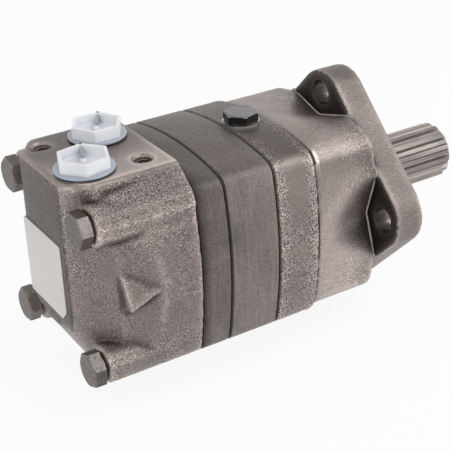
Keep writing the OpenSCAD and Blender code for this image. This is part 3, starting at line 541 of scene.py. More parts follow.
def mesh_of(bm):
    """A mesh with its faces outward. The bmesh is freed."""
    bmesh.ops.recalc_face_normals(bm, faces=bm.faces)
    mesh = bpy.data.meshes.new("part")
    bm.to_mesh(mesh)
    bm.free()
    return mesh


def cad_copy(node):
    """A CAD node's mesh as one closed surface."""
    bm = bmesh.new()
    bm.from_mesh(NODES[node].data)
    bmesh.ops.remove_doubles(bm, verts=bm.verts, dist=1e-6)
    return bm


def evaluated_mesh(piece):
    """The mesh that the modifiers give, after which they are removed."""
    graph = bpy.context.evaluated_depsgraph_get()
    mesh = bpy.data.meshes.new_from_object(piece.evaluated_get(graph))
    old = piece.data
    piece.modifiers.clear()
    piece.data = mesh
    bpy.data.meshes.remove(old)
    return mesh


def shade_by_angle(mesh, degrees=35.0):
    mesh.polygons.foreach_set("use_smooth", [True] * len(mesh.polygons))
    mesh.set_sharp_from_angle(angle=math.radians(degrees))


def skinned(bm, rings):
    """Faces between neighbouring rings of equally many points, and one over each end."""
    for a, b in zip(rings, rings[1:]):
        for i in range(len(a)):
            j = (i + 1) % len(a)
            bm.faces.new((a[i], a[j], b[j], b[i]))
    bm.faces.new(rings[0])
    bm.faces.new(rings[-1])
    return bm


def lathe_along_x(profile, segments=96, centre=(0.0, 0.0), turn=None):
    """A closed ring or disc turned round a line along X, from (radius, x) points in millimetres."""
    bm = bmesh.new()
    rows = []
    for radius, x in profile:
        count = segments if radius > 1e-6 else 1
        row = []
        for i in range(count):
            a = 2 * math.pi * i / segments
            y, z = centre[0] + radius * math.cos(a), centre[1] + radius * math.sin(a)
            row.append(bm.verts.new((x * MM, y * MM, z * MM)))
        rows.append(row)
    closed = profile[0][0] > 1e-6
    pairs = list(zip(rows, rows[1:] + rows[:1])) if closed else list(zip(rows, rows[1:]))
    for a, b in pairs:
        for i in range(segments):
            j = (i + 1) % segments
            corners = [a[i % len(a)], a[j % len(a)], b[j % len(b)], b[i % len(b)]]
            unique = list(dict.fromkeys(corners))
            if len(unique) > 2:
                bm.faces.new(unique)
    if turn is not None:
        bmesh.ops.transform(bm, matrix=turn, verts=bm.verts)
    return bm


def moved(x, y, z):
    """A move by millimetres."""
    return Matrix.Translation((x * MM, y * MM, z * MM))


def turned(degrees, axis):
    return Matrix.Rotation(math.radians(degrees), 4, axis)


def upright(x, y, z):
    """Turns what was made along X to stand along Z at a place, in millimetres."""
    return moved(x, y, z) @ turned(-90, "Y")


def ringed(bm, picked, width, segments=2):
    """Bevels the edges that picked() names."""
    edges = [e for e in bm.edges if picked(e)]
    bmesh.ops.bevel(
        bm,
        geom=edges,
        offset=width,
        segments=segments,
        profile=0.5,
        affect="EDGES",
        clamp_overlap=True,
    )
    return bm


def sharp(edge, degrees):
    return len(edge.link_faces) == 2 and edge.calc_face_angle(0.0) > math.radians(degrees)


def points_of(mesh):
    co = np.empty(len(mesh.vertices) * 3, np.float32)
    mesh.vertices.foreach_get("co", co)
    return co.reshape(-1, 3).astype(float)


def normals_of(mesh):
    normals = np.empty(len(mesh.vertices) * 3, np.float32)
    mesh.vertex_normals.foreach_get("vector", normals)
    return normals.reshape(-1, 3).astype(float)


def edges_of(mesh):
    pairs = np.empty(len(mesh.edges) * 2, np.int32)
    mesh.edges.foreach_get("vertices", pairs)
    return pairs.reshape(-1, 2)


def averaged(values, pairs):
    """Each vertex's mean over its neighbours."""
    count = np.bincount(pairs.ravel(), minlength=len(values)).astype(float)
    columns = values.reshape(len(values), -1)
    total = np.zeros_like(columns)
    for k in range(columns.shape[1]):
        total[:, k] = np.bincount(pairs[:, 0], columns[pairs[:, 1], k], len(values))
        total[:, k] += np.bincount(pairs[:, 1], columns[pairs[:, 0], k], len(values))
    return (total / np.maximum(count, 1)[:, None]).reshape(values.shape)


def put_points(mesh, co):
    mesh.vertices.foreach_set("co", co.astype(np.float32).ravel())
    mesh.update()


def put_mark(mesh, name, values):
    attribute = mesh.attributes.new(name, "FLOAT", "POINT")
    attribute.data.foreach_set("value", values.astype(np.float32))


def ramped(value, start, end):
    """0 before start and 1 after end, smoothly in between."""
    t = np.clip((value - start) / (end - start), 0, 1)
    return t * t * (3 - 2 * t)


def smoothed(co, pairs, share, passes):
    for _ in range(passes):
        co += 0.5 * share * (averaged(co, pairs) - co)


def along(offsets, normals):
    """How far each offset reaches along its normal."""
    return np.einsum("ij,ij->i", offsets, normals)


def fractal(co, scale, smoothness, octaves):
    return np.array([noise.fractal(Vector(p) * scale, smoothness, 2.1, octaves) for p in co])


def casting(name, node, tone, grain, firm, flow):
    """An evenly meshed copy of a casting, with softened edges, an uneven skin and its marks, whose
    shade mark is painted light and shade.

    tone, grain, firm and flow are functions of points in millimetres and of normals. firm keeps
    an edge from being softened, and flow is where one face runs softly into the next.
    """
    s = sizes()
    piece = new_piece(name, mesh_of(cad_copy(node)))
    remesh = piece.modifiers.new("Even faces", "REMESH")
    remesh.mode = "VOXEL"
    remesh.voxel_size = s.casting_cell
    mesh = evaluated_mesh(piece)
    mesh.name = name
    mesh.polygons.foreach_set("use_smooth", [True] * len(mesh.polygons))
    pairs, co, first_normals = edges_of(mesh), points_of(mesh), normals_of(mesh)
    smoothed(co, pairs, (1 - firm(co / MM, first_normals))[:, None], s.casting_passes)
    smoothed(co, pairs, flow(co / MM, first_normals)[:, None], s.flow_passes)
    put_points(mesh, co)
    normals = normals_of(mesh)
    near = averaged(averaged(co, pairs), pairs)
    wide = near
    for _ in range(s.wide_passes):
        wide = averaged(wide, pairs)
    # Convex edges come out lighter, and hollows darker as painted shade.
    edge = -along(near - co, normals) / EDGE_HEIGHT - along(wide - co, normals) / HOLLOW_DEPTH
    smoothed(edge, pairs, 1.0, 2)
    patches = fractal(co, PATCH_SCALE, 0.8, 2)
    roughness = grain(co / MM, normals) * np.clip(1 + 0.55 * patches, 0.5, 1.6)
    heights = fractal(co, SKIN_SCALE, 0.9, 3)
    co += normals * (heights * roughness * s.skin_depth)[:, None]
    put_points(mesh, co)
    put_mark(mesh, "edge", np.clip(edge, -1, 1))
    put_mark(mesh, "grain", roughness)
    # Painted light and shade from the tone function.
    put_mark(mesh, "shade", tone(co / MM, normals))
    mesh.materials.clear()
    mesh.materials.append(finish("cast_iron"))
    return piece


def settle(piece, body, slot, *nodes):
    """Puts a finished piece on its body and hides the CAD nodes that it stands for."""
    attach(piece, body)
    if nodes:
        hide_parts(*nodes)


def joined(parts):
    """One bmesh out of several."""
    whole = bmesh.new()
    for part in parts:
        mesh = mesh_of(part)
        whole.from_mesh(mesh)
        bpy.data.meshes.remove(mesh)
    return whole


# Geometry Nodes

THREAD_STEPS, THREAD_SIDES, BEAD_SIDES = 40, 4, 8


class Group:
    """Builds a Geometry Nodes tree with named inputs."""

    def __init__(self, name):
        self.tree = bpy.data.node_groups.new(name, "GeometryNodeTree")
        for way in ("INPUT", "OUTPUT"):
            self.tree.interface.new_socket(
                "Geometry", in_out=way, socket_type="NodeSocketGeometry"
            )
        self.start = self.tree.nodes.new("NodeGroupInput")
        self.end = self.tree.nodes.new("NodeGroupOutput")

    def input(self, name, kind="NodeSocketFloat"):
        self.tree.interface.new_socket(name, in_out="INPUT", socket_type=kind)
        return self.start.outputs[name]

    def node(self, kind, **settings):
        node = self.tree.nodes.new(kind)
        for key, value in settings.items():
            setattr(node, key, value)
        return node

    def link(self, source, target):
        self.tree.links.new(source, target)

    def sweep(self, path, radius, sides):
        """A round section of few sides along a curve, with closed ends."""
        profile = self.node("GeometryNodeCurvePrimitiveCircle")
        profile.inputs["Resolution"].default_value = sides
        self.link(radius, profile.inputs["Radius"])
        swept = self.node("GeometryNodeCurveToMesh")
        swept.inputs["Fill Caps"].default_value = True
        self.link(path, swept.inputs["Curve"])
        self.link(profile.outputs["Curve"], swept.inputs["Profile Curve"])
        return swept.outputs["Mesh"]

    def close(self, geometry):
        """Ends the tree in Realize Instances and Set Material."""
        material = self.input("Material", "NodeSocketMaterial")
        real = self.node("GeometryNodeRealizeInstances")
        painted = self.node("GeometryNodeSetMaterial")
        self.link(geometry, real.inputs[0])
        self.link(real.outputs[0], painted.inputs["Geometry"])
        self.link(material, painted.inputs["Material"])
        self.link(painted.outputs[0], self.end.inputs[0])


def build_thread(group):
    """A helical ridge along Z."""
    spiral = group.node("GeometryNodeCurveSpiral")
    spiral.inputs["Resolution"].default_value = THREAD_STEPS
    radius = group.input("Radius")
    group.link(radius, spiral.inputs["Start Radius"])
    group.link(radius, spiral.inputs["End Radius"])
    group.link(group.input("Turns"), spiral.inputs["Rotations"])
    group.link(group.input("Length"), spiral.inputs["Height"])
    group.close(group.sweep(spiral.outputs["Curve"], group.input("Ridge"), THREAD_SIDES))


def build_copies(group):
    """Copies of an object on a mesh's points, turned by the points' own turn round X."""
    info = group.node("GeometryNodeObjectInfo")
    group.link(group.input("Source", "NodeSocketObject"), info.inputs["Object"])
    turn = group.node("GeometryNodeInputNamedAttribute", data_type="FLOAT_VECTOR")
    turn.inputs["Name"].default_value = "turn"
    angles = group.node("FunctionNodeEulerToRotation")
    group.link(turn.outputs["Attribute"], angles.inputs[0])
    placed = group.node("GeometryNodeInstanceOnPoints")
    group.link(group.start.outputs["Geometry"], placed.inputs["Points"])
    group.link(info.outputs["Geometry"], placed.inputs["Instance"])
    group.link(angles.outputs[0], placed.inputs["Rotation"])
    group.close(placed.outputs["Instances"])


def build_bead(group):
    """A round bead along a mesh's edges."""
    path = group.node("GeometryNodeMeshToCurve")
    group.link(group.start.outputs["Geometry"], path.inputs["Mesh"])
    group.close(group.sweep(path.outputs["Curve"], group.input("Bead radius"), BEAD_SIDES))


def run_tree(title, build, name, mesh, **values):
    """The plain mesh that a tree makes from this one. The tree is built when first asked for."""
    tree = bpy.data.node_groups.get(title)
    if tree is None:
        group = Group(title)
        build(group)
        tree = group.tree
    sockets = {s.name: s.identifier for s in tree.interface.items_tree if s.in_out == "INPUT"}
    piece = bpy.data.objects.new(name, mesh)
    bpy.context.scene.collection.objects.link(piece)
    modifier = piece.modifiers.new(title, "NODES")
    modifier.node_group = tree
    for key, value in values.items():
        modifier[sockets[key.replace("_", " ")]] = value
    made = evaluated_mesh(piece)
    bpy.data.objects.remove(piece)
    made.name = name
    return made


def thread(name, radius, pitch, length, ridge, material, place):
    """A thread's ridge at its place. Lengths are in millimetres, but the pitch is in metres."""
    mesh = run_tree(
        "Thread ridge",
        build_thread,
        name,
        bpy.data.meshes.new(name),
        Radius=radius * MM,
        Turns=length * MM / pitch,
        Length=length * MM,
        Ridge=ridge * MM,
        Material=finish(material),
    )
    mesh.transform(place)
    bm = bmesh.new()
    bm.from_mesh(mesh)
    bpy.data.meshes.remove(mesh)
    return bm


def copies(name, bm, places, material):
    """One plain mesh of copies of bm. places are (x, y, z, turn round X), in metres and radians."""
    source = bpy.data.objects.new(name + ".source", mesh_of(bm))
    points = bpy.data.meshes.new(name)
    points.from_pydata([p[:3] for p in places], [], [])
    turns = points.attributes.new("turn", "FLOAT_VECTOR", "POINT")
    turns.data.foreach_set("vector", [v for p in places for v in (p[3], 0.0, 0.0)])
    mesh = run_tree(
        "Copies on points", build_copies, name, points, Source=source, Material=finish(material)
    )
    old = source.data
    bpy.data.objects.remove(source)
    bpy.data.meshes.remove(old)
    return mesh


# Housing and end cover


# Painted shade in a seam or a joint, as a share of the casting's colour
SEAM_PAINTED_SHADE, JOINT_PAINTED_SHADE = 0.2, 0.3


def housing_painted_light(p, n):
    """Painted light under the neck and on its crown, and painted shade in the seams, behind the
    flange, near the flange and on upward faces, with a painted highlight beside the band's step at
    its corners.
    """
    x, r, up = p[:, 0], np.hypot(p[:, 1], p[:, 2]), n[:, 2]
    tone = np.where(x < BAND_X, 1.15, 1.0)
    neck = (x < NECK_X - 0.4) & (x > BAND_X + 0.2)
    # Painted light on the neck by the way each face looks: lighter low on its sides and on its
    # crown, fading into painted shade towards the flange.
    lower = 2.1 - 1.0 * ramped(up, 0.0, 0.22) + 0.45 * ramped(up, 0.3, 0.6)
    lower += 0.55 * ramped(up, 0.8, 0.97)
    lower *= 1.03 - 0.3 * ramped(x, -36, NECK_X)
    tone = np.where(neck, lower, tone)
    # Painted shade on the back of the flange round the neck.
    back = (np.abs(x - NECK_X) < 0.9) & (n[:, 0] < -0.6) & (r > 40)
    tone = np.where(back, SEAM_PAINTED_SHADE, tone)
    # Painted shade on upward faces, and in the groove beside the gear ring.
    tone *= 1 - np.where(x < BAND_X, 0.48, 0.33) * ramped(up, 0.45, 0.9)
    tone *= np.where(x < RING_X + 2.4, 0.65, 1.0)
    # Painted shade in the seam at the band's step and at the gear ring's joint, and a painted
    # highlight on the neck beside the step at the corners.
    corner = ramped(up, 0.1, 0.5) * (1 - ramped(up, 0.75, 0.93))
    into = x - BAND_X
    seam = (into > -0.1) & (into < 1.0 + 1.5 * corner) & (up < 0.94)
    tone *= np.where((into > 1.0) & (into < 4.6), 1 + 1.5 * corner, 1.0)
    return np.where(seam | (x < RING_X + 1.0), SEAM_PAINTED_SHADE, tone)


def housing_grain(p, n):
    """Coarse along the band's edges, fine on the neck, nearly smooth on the machined ends."""
    x = p[:, 0]
    band = x < BAND_X + 0.5
    strip = ramped(x, -73, -69) * (1 - ramped(x, -62, -58))
    rough = 2.0 - 0.6 * ramped(p[:, 2], 5, 35)
    near_flange = ramped(x, -42, -24) * (1 - ramped(x, -21, NECK_X))
    grain = np.where(band, rough - 1.2 * strip, 0.42 + 0.45 * near_flange)
    return np.where((x > -0.5) | (x < RING_X + 0.5), 0.15, grain)


def housing_flow(p, n):
    """The scooped sides, which run smoothly into the neck."""
    x, y, z = p[:, 0], p[:, 1], p[:, 2]
    inside = ramped(x, BAND_X + 2, BAND_X + 6) * (1 - ramped(x, NECK_X - 3, NECK_X - 1.2))
    across = np.minimum(np.abs(y), np.abs(z))
    side = 1 - ramped(across, 34, 38)
    outer = np.hypot(y, z) > 38.5
    return inside * side * outer


def housing_firm(p, n):
    """Keeps the turned seats and bores, and most of the band's step."""
    x, r = p[:, 0], np.hypot(p[:, 1], p[:, 2])
    firm = np.where((r < 43) & (x > -3), 1.0, 0.0)
    firm = np.where(np.abs(x - BAND_X) < 1.6, 0.85, firm)
    firm = np.where((r < 39) & (x < NECK_X), 1.0, firm)
    return np.where((r < 36) & (x <= -3), 1.0, firm)


# Profiles of a flange hole's bored wall and of its mouth at the back, which is darkened with
# painted shade
SLEEVE_ROOM = 7.2
SLEEVE = [(6.7, NECK_X + 0.4), (7.4, NECK_X + 0.4), (7.4, -0.7), (6.7, -0.7)]
MOUTH = [
    (6.72, NECK_X + 0.3),
    (7.0, NECK_X - 0.04),
    (8.5, NECK_X - 0.04),
    (8.9, NECK_X + 0.4),
    (8.9, NECK_X + 0.9),
    (6.72, NECK_X + 0.9),
]


class MOTOR_OT_housing(bpy.types.Operator):
    """Casting of the front housing with its flange, its scooped neck and its rough band"""

    bl_idname = "motor.housing"
    bl_label = "Front housing"

    def execute(self, context):
        piece = casting(
            "housing_casting",
            "front_housing",
            housing_painted_light,
            housing_grain,
            housing_firm,
            housing_flow,
        )
        settle(piece, "housing", "cast_iron", "front_housing")
        sleeves, mouths = [], []
        co = points_of(piece.data)
        for k in range(4):
            a = math.pi / 2 * k
            centre = (FLANGE_HOLE_AT * math.cos(a), FLANGE_HOLE_AT * math.sin(a))
            off = co[:, 1:] - np.array(centre) * MM
            far = np.maximum(np.linalg.norm(off, axis=1), 1e-6)
            room = SLEEVE_ROOM * MM
            wall = (far < room) & (co[:, 0] > (NECK_X - 1.5) * MM)
            co[:, 1:] += off * np.where(wall, room / far - 1, 0.0)[:, None]
            sleeves.append(lathe_along_x(SLEEVE, 64, centre))
            mouths.append(lathe_along_x(MOUTH, 64, centre))
        put_points(piece.data, co)
        for name, parts, material in (
            ("flange_hole_walls", sleeves, "bored_iron"),
            ("flange_hole_mouths", mouths, "mouth_iron"),
        ):
            mesh = mesh_of(joined(parts))
            shade_by_angle(mesh)
            settle(new_piece(name, mesh, material), "housing", "turned_iron")
        self.rim_lines(piece)
        return {"FINISHED"}

    def rim_lines(self, skin_piece):
        """The thin fillets where the scooped sides meet the back of the flange, in a light colour
        that paints their highlight.
        """
        source = cad_copy("front_housing")
        lines = bmesh.new()
        for edge in source.edges:
            flat = [f for f in edge.link_faces if f.normal.x < -0.99]
            at_back = all(abs(v.co.x / MM - NECK_X) < 0.01 for v in edge.verts)
            outside = all(v.co.yz.length > 38 * MM for v in edge.verts)
            if len(flat) == 1 and at_back and outside and not edge.is_convex:
                lines.edges.new([lines.verts.new(v.co) for v in edge.verts])
        source.free()
        bmesh.ops.remove_doubles(lines, verts=lines.verts, dist=1e-6)
        skin = BVHTree.FromObject(skin_piece, bpy.context.evaluated_depsgraph_get())
        for v in lines.verts:
            spot, normal = skin.find_nearest(v.co)[:2]
            v.co = spot + normal * 0.1 * MM
        mesh = bpy.data.meshes.new("neck_rim_lines")
        lines.to_mesh(mesh)
        lines.free()
        made = run_tree(
            "Bead along edges",
            build_bead,
            "neck_rim_lines",
            mesh,
            Bead_radius=0.55 * MM,
            Material=finish("rim_iron"),
        )
        shade_by_angle(made, 60)
        settle(new_piece("neck_rim_lines", made, "rim_iron"), "housing", "turned_iron")


def cover_painted_light(p, n):
    """Painted light on the port face and on the upper near bolt boss, and painted shade on the
    shoulder slope, the rear face, the rib's back side, upward faces and at the joint.
    """
    x, z = p[:, 0], p[:, 2]
    # Painted light on the port face, lighter towards its near side, and on the lower part of the
    # upper near bolt boss; painted shade on the steep shoulder.
    near = ramped(-p[:, 1], -15, 30)
    top = (n[:, 2] > 0.9) & (z > PORT_FACE_Z - 0.6)
    slope = ramped(z, 39, 44) * (n[:, 2] < 0.9) * (p[:, 1] < -28)
    boss = np.hypot(p[:, 1] + BOLT_AT, z - BOLT_AT) < 14
    tone = np.where(top, 0.85 + 1.5 * near, 1.1 - 0.25 * slope + 0.25 * boss * (z < 39))
    # Painted shade on the rear face and on upward faces.
    rear = (n[:, 0] < -0.8) & (x < REAR_X + 1)
    tone = np.where(rear, 0.52, tone) * (1 - 0.27 * ramped(n[:, 2], 0.3, 0.9))
    # Painted shade on the rib's back side, and at the joint with the channel plate.
    rib_side = (n[:, 0] < -0.75) & (x > REAR_X + 5) & (np.abs(z) < 20)
    tone = np.where(rib_side, 0.75, tone)
    return np.where(x > COVER_X - 0.7, JOINT_PAINTED_SHADE, tone)


def cover_grain(p, n):
    """Coarser towards the top and on the shoulders, nearly smooth on the port face."""
    x, y, z = p[:, 0], p[:, 1], p[:, 2]
    face = ramped(z, PORT_FACE_Z - 4, PORT_FACE_Z - 0.5)
    slope = ramped(z, 44, 47) * ramped(np.abs(y), 30, 33)
    boss = np.hypot(y + BOLT_AT, z + BOLT_AT) < 15
    grain = 0.6 + 0.3 * ramped(z, -15, 32) + 0.55 * slope + 0.3 * boss
    rib_side = (n[:, 0] < -0.75) & (x > REAR_X + 5)
    grain = np.where(rib_side, 0.4, grain) * (1 - 0.75 * face)
    pad = (x < REAR_X + 0.5) & (n[:, 0] < -0.8)
    grain = np.where(pad, 0.7, grain)
    return np.where(x > COVER_X - 0.5, 0.15, grain)


def cover_firm(p, n):
    """Keeps the bores, and most of the rib on the near side."""
    x, y, z = p[:, 0], p[:, 1], p[:, 2]
    inside = np.where((np.hypot(y, z) < 34.5) & (x > REAR_X + 2), 1.0, 0.0)
    rib = (y < -38) & (z > -14) & (z < 17) & (x > REAR_X + 17) & (x < REAR_X + 36)
    return np.where(rib, 0.7, inside)


def cover_flow(p, n):
    """The well rounded edges of the rear face, and the soft bend where the walls end."""
    x, y, z = p[:, 0], p[:, 1], p[:, 2]
    label = (np.abs(y) < 20.5) & (z < 22) & (z > -22)
    inside = np.hypot(y, z) < 12
    rear = np.where(label | inside, 0.0, 0.25 * (1 - ramped(x, REAR_X + 5, REAR_X + 9)))
    bend = 1 - ramped(np.abs(x - REAR_X - 37), 3, 7)
    bend = bend * (np.abs(y) > 40) * ramped(np.abs(z), 16, 20) * (1 - ramped(np.abs(z), 28, 33))
    return np.maximum(rear, 0.25 * bend)


# Profiles of the machined mouths of a port and of a bracket hole, from the port face down
PORT_MOUTH = [
    (9.6, -15.0),
    (9.6, -1.6),
    (10.8, -0.4),
    (13.9, -0.4),
    (13.9, -0.8),
    (11.2, -0.9),
    (10.4, -15.0),
]
BRACKET_MOUTH = [(4.25, -15.0), (4.25, -1.1), (5.3, -0.02), (5.5, -0.02), (5.5, -0.6), (4.9, -15.0)]


class MOTOR_OT_cover(bpy.types.Operator):
    """Casting of the end cover, with the machined mouths and threads of its holes"""

    bl_idname = "motor.cover"
    bl_label = "End cover"

    def execute(self, context):
        piece = casting(
            "cover_casting", "end_cover", cover_painted_light, cover_grain, cover_firm, cover_flow
        )
        settle(piece, "housing", "cover_iron", "end_cover")
        s = sizes()
        seats, ridges = [], []
        for side in (-1, 1):
            for x, y, mouth, segments, ridge in (
                (PORT_DX, PORT_DY, PORT_MOUTH, 96, (9.68, s.port_pitch, 12.6, 0.3)),
                (BRACKET_DX, -BRACKET_DY, BRACKET_MOUTH, 64, (4.3, s.bracket_pitch, 13.4, 0.45)),
            ):
                x, y = PORT_X + side * x, side * y
                top = upright(x, y, PORT_FACE_Z + 0.02)
                seats.append(lathe_along_x(mouth, segments, turn=top))
                bottom = moved(x, y, PORT_FACE_Z - HOLE_DEPTH)
                ridges.append(thread("hole_thread", *ridge, "turned_iron", bottom))
        for name, parts in (("machined_seats", seats), ("cover_threads", ridges)):
            mesh = mesh_of(joined(parts))
            if parts is seats:
                shade_by_angle(mesh)
            settle(new_piece(name, mesh, "turned_iron"), "housing", "turned_iron")
        return {"FINISHED"}


# Ring and plate


# The outer edges of the sections lie further out than this, in metres
BODY_IN = 48.5 * MM


def section_piece(name, node, material, slot):
    """A section of the body with broken outer edges, painted shade in their grooves and painted
    shade on its upward faces.
    """
    bm = cad_copy(node)
    x0, x1 = low(node, 0) * MM, high(node, 0) * MM

    def rim(edge):
        for x in (x0, x1):
            if all(abs(v.co.x - x) < 1e-6 and v.co.yz.length > BODY_IN for v in edge.verts):
                return sharp(edge, 60)
        return False

    ringed(bm, rim, sizes().edge_break, 3)
    mesh = mesh_of(bm)
    shade_by_angle(mesh, 30)
    piece = new_piece(name, mesh, material, "joint_edge")
    # Painted shade in the grooves of the broken edges.
    depth = 0.75 * sizes().edge_break
    for polygon in mesh.polygons:
        x = polygon.center.x
        if x0 + 1e-6 < x < x0 + depth or x1 - depth < x < x1 - 1e-6:
            polygon.material_index = 1
    # Painted shade on the faces that look upward.
    put_mark(mesh, "shade", 1 - 0.36 * ramped(normals_of(mesh)[:, 2], 0.2, 0.9))
    settle(piece, "housing", slot, node)


class MOTOR_OT_sections(bpy.types.Operator):
    """Gear ring and channel plate, the two darker sections between housing and cover"""

    bl_idname = "motor.sections"
    bl_label = "Gear ring and channel plate"

    def execute(self, context):
        section_piece("gear_ring_body", "gear_ring", "ring_iron", "ring_iron")
        section_piece("channel_plate_body", "channel_plate", "plate_iron", "ring_iron")
        return {"FINISHED"}


# Fasteners and trim


def hexagon_head(across, height, seat_x):
    """A hexagon head along X, in metres, with a turned chamfer and broken edges."""
    bm = bmesh.new()
    half = across / 2
    corner = half / math.cos(math.pi / 6)
    inner = half * 0.94
    count = 48
    end = seat_x - height
    chamfer = (corner - inner) * math.tan(math.radians(30))
    rings = []
    for x, limit in (
        (seat_x, corner * 2),
        (end + chamfer * 1.05, corner * 2),
        (end + chamfer * 0.6, inner + (corner - inner) * 0.6),
        (end, inner),
        (end, inner * 0.55),
    ):
        ring = []
        for i in range(count):
            a = 2 * math.pi * i / count
            r = min(half / math.cos((a % (math.pi / 3)) - math.pi / 6), limit)
            ring.append(bm.verts.new((x, r * math.cos(a), r * math.sin(a))))
        rings.append(ring)
    return ringed(skinned(bm, rings), lambda edge: sharp(edge, 40), 0.25 * MM)


# Profiles of a tie bolt's washer face and of its shank
WASHER_FACE = [
    (0, BOLT_SEAT_X),
    (7.5, BOLT_SEAT_X),
    (7.5, BOLT_SEAT_X - 0.6),
    (0, BOLT_SEAT_X - 0.6),
]
BOLT_SHANK = [
    (0, BOLT_SEAT_X - 0.5),
    (4.9, BOLT_SEAT_X - 0.5),
    (4.9, BOLT_TIP_X - 34),
    (4.4, BOLT_TIP_X - 33.5),
    (4.4, BOLT_TIP_X - 1),
    (3.6, BOLT_TIP_X),
    (0, BOLT_TIP_X),
]
# Each bolt's side and height, and the degrees that its head is turned
BOLTS = ((-1, 1, 0), (1, 1, 13), (-1, -1, 38), (1, -1, 3))


class MOTOR_OT_tie_bolts(bpy.types.Operator):
    """Four tie bolts with their washer faces and their threads"""

    bl_idname = "motor.tie_bolts"
    bl_label = "Tie bolts"

    def execute(self, context):
        s = sizes()
        seat = BOLT_SEAT_X * MM
        height = 6.4 * MM
        along_x = moved(BOLT_TIP_X - 33, 0, 0) @ turned(90, "Y")
        bolt = joined(
            [
                hexagon_head(s.bolt_across, height, seat - 0.5 * MM),
                lathe_along_x(WASHER_FACE, 48),
                lathe_along_x(BOLT_SHANK, 32),
                thread("bolt_thread", 4.45, s.bracket_pitch, 31.5, 0.5, "bolt_steel", along_x),
            ]
        )
        at = BOLT_AT * MM
        places = [(0.0, y * at, z * at, math.radians(angle)) for y, z, angle in BOLTS]
        mesh = copies("tie_bolt_set", bolt, places, "bolt_steel")
        shade_by_angle(mesh, 28)
        piece = new_piece("tie_bolt_set", mesh, "bolt_steel", "bolt_face", "bolt_edge")
        # Painted shade: the end face and the side faces turned down or straight up take the darkest
        # copy; the chamfer and steep upper faces take a darker one.
        for polygon in mesh.polygons:
            x, n = polygon.center.x, polygon.normal
            if x < seat - 0.7 * height:
                polygon.material_index = 1 if n.x < -0.99 else 2
            elif x < seat and abs(n.x) < 0.3 and not -0.05 < n.z < 0.7:
                polygon.material_index = 2 if 0 < n.z < 0.85 else 1
        settle(piece, "housing", "bolt_steel", "tie_bolts")
        return {"FINISHED"}


# Profiles of the drain plug's collar and shank, downwards from under its head
DRAIN_COLLAR = [(0, 0.4), (8.6, 0.4), (8.6, -0.1), (8.2, -0.5), (0, -0.5)]
DRAIN_SHANK = [(0, 11.4), (5.2, 11.4), (5.6, 10.8), (5.6, 0.3), (0, 0.3)]


class MOTOR_OT_drain_plug(bpy.types.Operator):
    """Black hexagon drain plug on its bright washer"""

    bl_idname = "motor.drain_plug"
    bl_label = "Drain plug"

    def execute(self, context):
        x, z = RING_X + 11.0, high("drain_washer", 2)
        top = high("drain_plug", 2)
        head = hexagon_head(16.0 * MM, (top - z - 0.4) * MM, 0.0)
        body = joined([head, lathe_along_x(DRAIN_COLLAR, 64), lathe_along_x(DRAIN_SHANK, 40)])
        place = moved(x, 0, z + 0.4) @ turned(90, "Y") @ turned(15, "X")
        bmesh.ops.transform(body, matrix=place, verts=body.verts)
        ridge = thread(
            "drain_thread", 5.6, 1.34 * MM, 9.5, 0.35, "black_steel", moved(x, 0, z - 10.6)
        )
        mesh = mesh_of(joined([body, ridge]))
        shade_by_angle(mesh, 28)
        piece = new_piece("drain_plug_body", mesh, "black_steel", "black_top")
        # Painted light: the top faces take the lighter copy of the black steel.
        for polygon in mesh.polygons:
            if polygon.normal.z > 0.35 and polygon.center.z > (top - 2.0) * MM:
                polygon.material_index = 1
        settle(piece, "housing", "black_steel", "drain_plug")
        return {"FINISHED"}


def hexagon_cup(across, wall, height, floor):
    """A hexagon cup open at the top, with rounded corners and rims, in millimetres."""
    outer, inner = across / 2, across / 2 - wall
    rows = [
        (outer - 0.25, 0.0),
        (outer, 0.25),
        (outer, height - 0.4),
        (outer - 0.12, height - 0.12),
        (outer - 0.4, height),
        (inner + 0.4, height),
        (inner + 0.12, height - 0.12),
        (inner, height - 0.4),
        (inner - 0.1, floor + 0.6),
        (inner - 0.7, floor),
    ]
    bm = bmesh.new()
    rings = []
    for half, z in rows:
        corner = half / math.cos(math.pi / 6)
        ring = []
        for k in range(6):
            for turn, share in ((-3.0, 0.985), (-1.0, 0.996), (1.0, 0.996), (3.0, 0.985)):
                a = math.radians(60 * k + turn)
                r = min(half / math.cos(math.radians(30 - abs(turn))), corner * share)
                ring.append(bm.verts.new((r * math.cos(a) * MM, r * math.sin(a) * MM, z * MM)))
        rings.append(ring)
    return skinned(bm, rings)


def bevelled_box(corner, size, width):
    """A box between two corners, in millimetres, with bevelled edges."""
    bm = bmesh.new()
    bmesh.ops.create_cube(bm, size=1.0)
    middle = [(c + s / 2) * MM for c, s in zip(corner, size)]
    bmesh.ops.scale(bm, vec=[s * MM for s in size], verts=bm.verts)
    bmesh.ops.translate(bm, vec=middle, verts=bm.verts)
    return ringed(bm, lambda e: True, width * MM)


# Profiles of a transit plug's disc, its shank and the mark on its web
PLUG_DISC = [
    (0, 0.02),
    (14.1, 0.02),
    (14.45, 0.3),
    (14.5, 0.65),
    (14.45, 1.0),
    (14.1, 1.3),
    (0, 1.3),
]
PLUG_SHANK = [(0, -9), (8.7, -9), (9.2, -8.4), (9.2, 0.3), (0, 0.3)]
GATE_PROFILE = [(0, 0), (0.75, 0), (0.75, 0.12), (0.55, 0.2), (0, 0.2)]


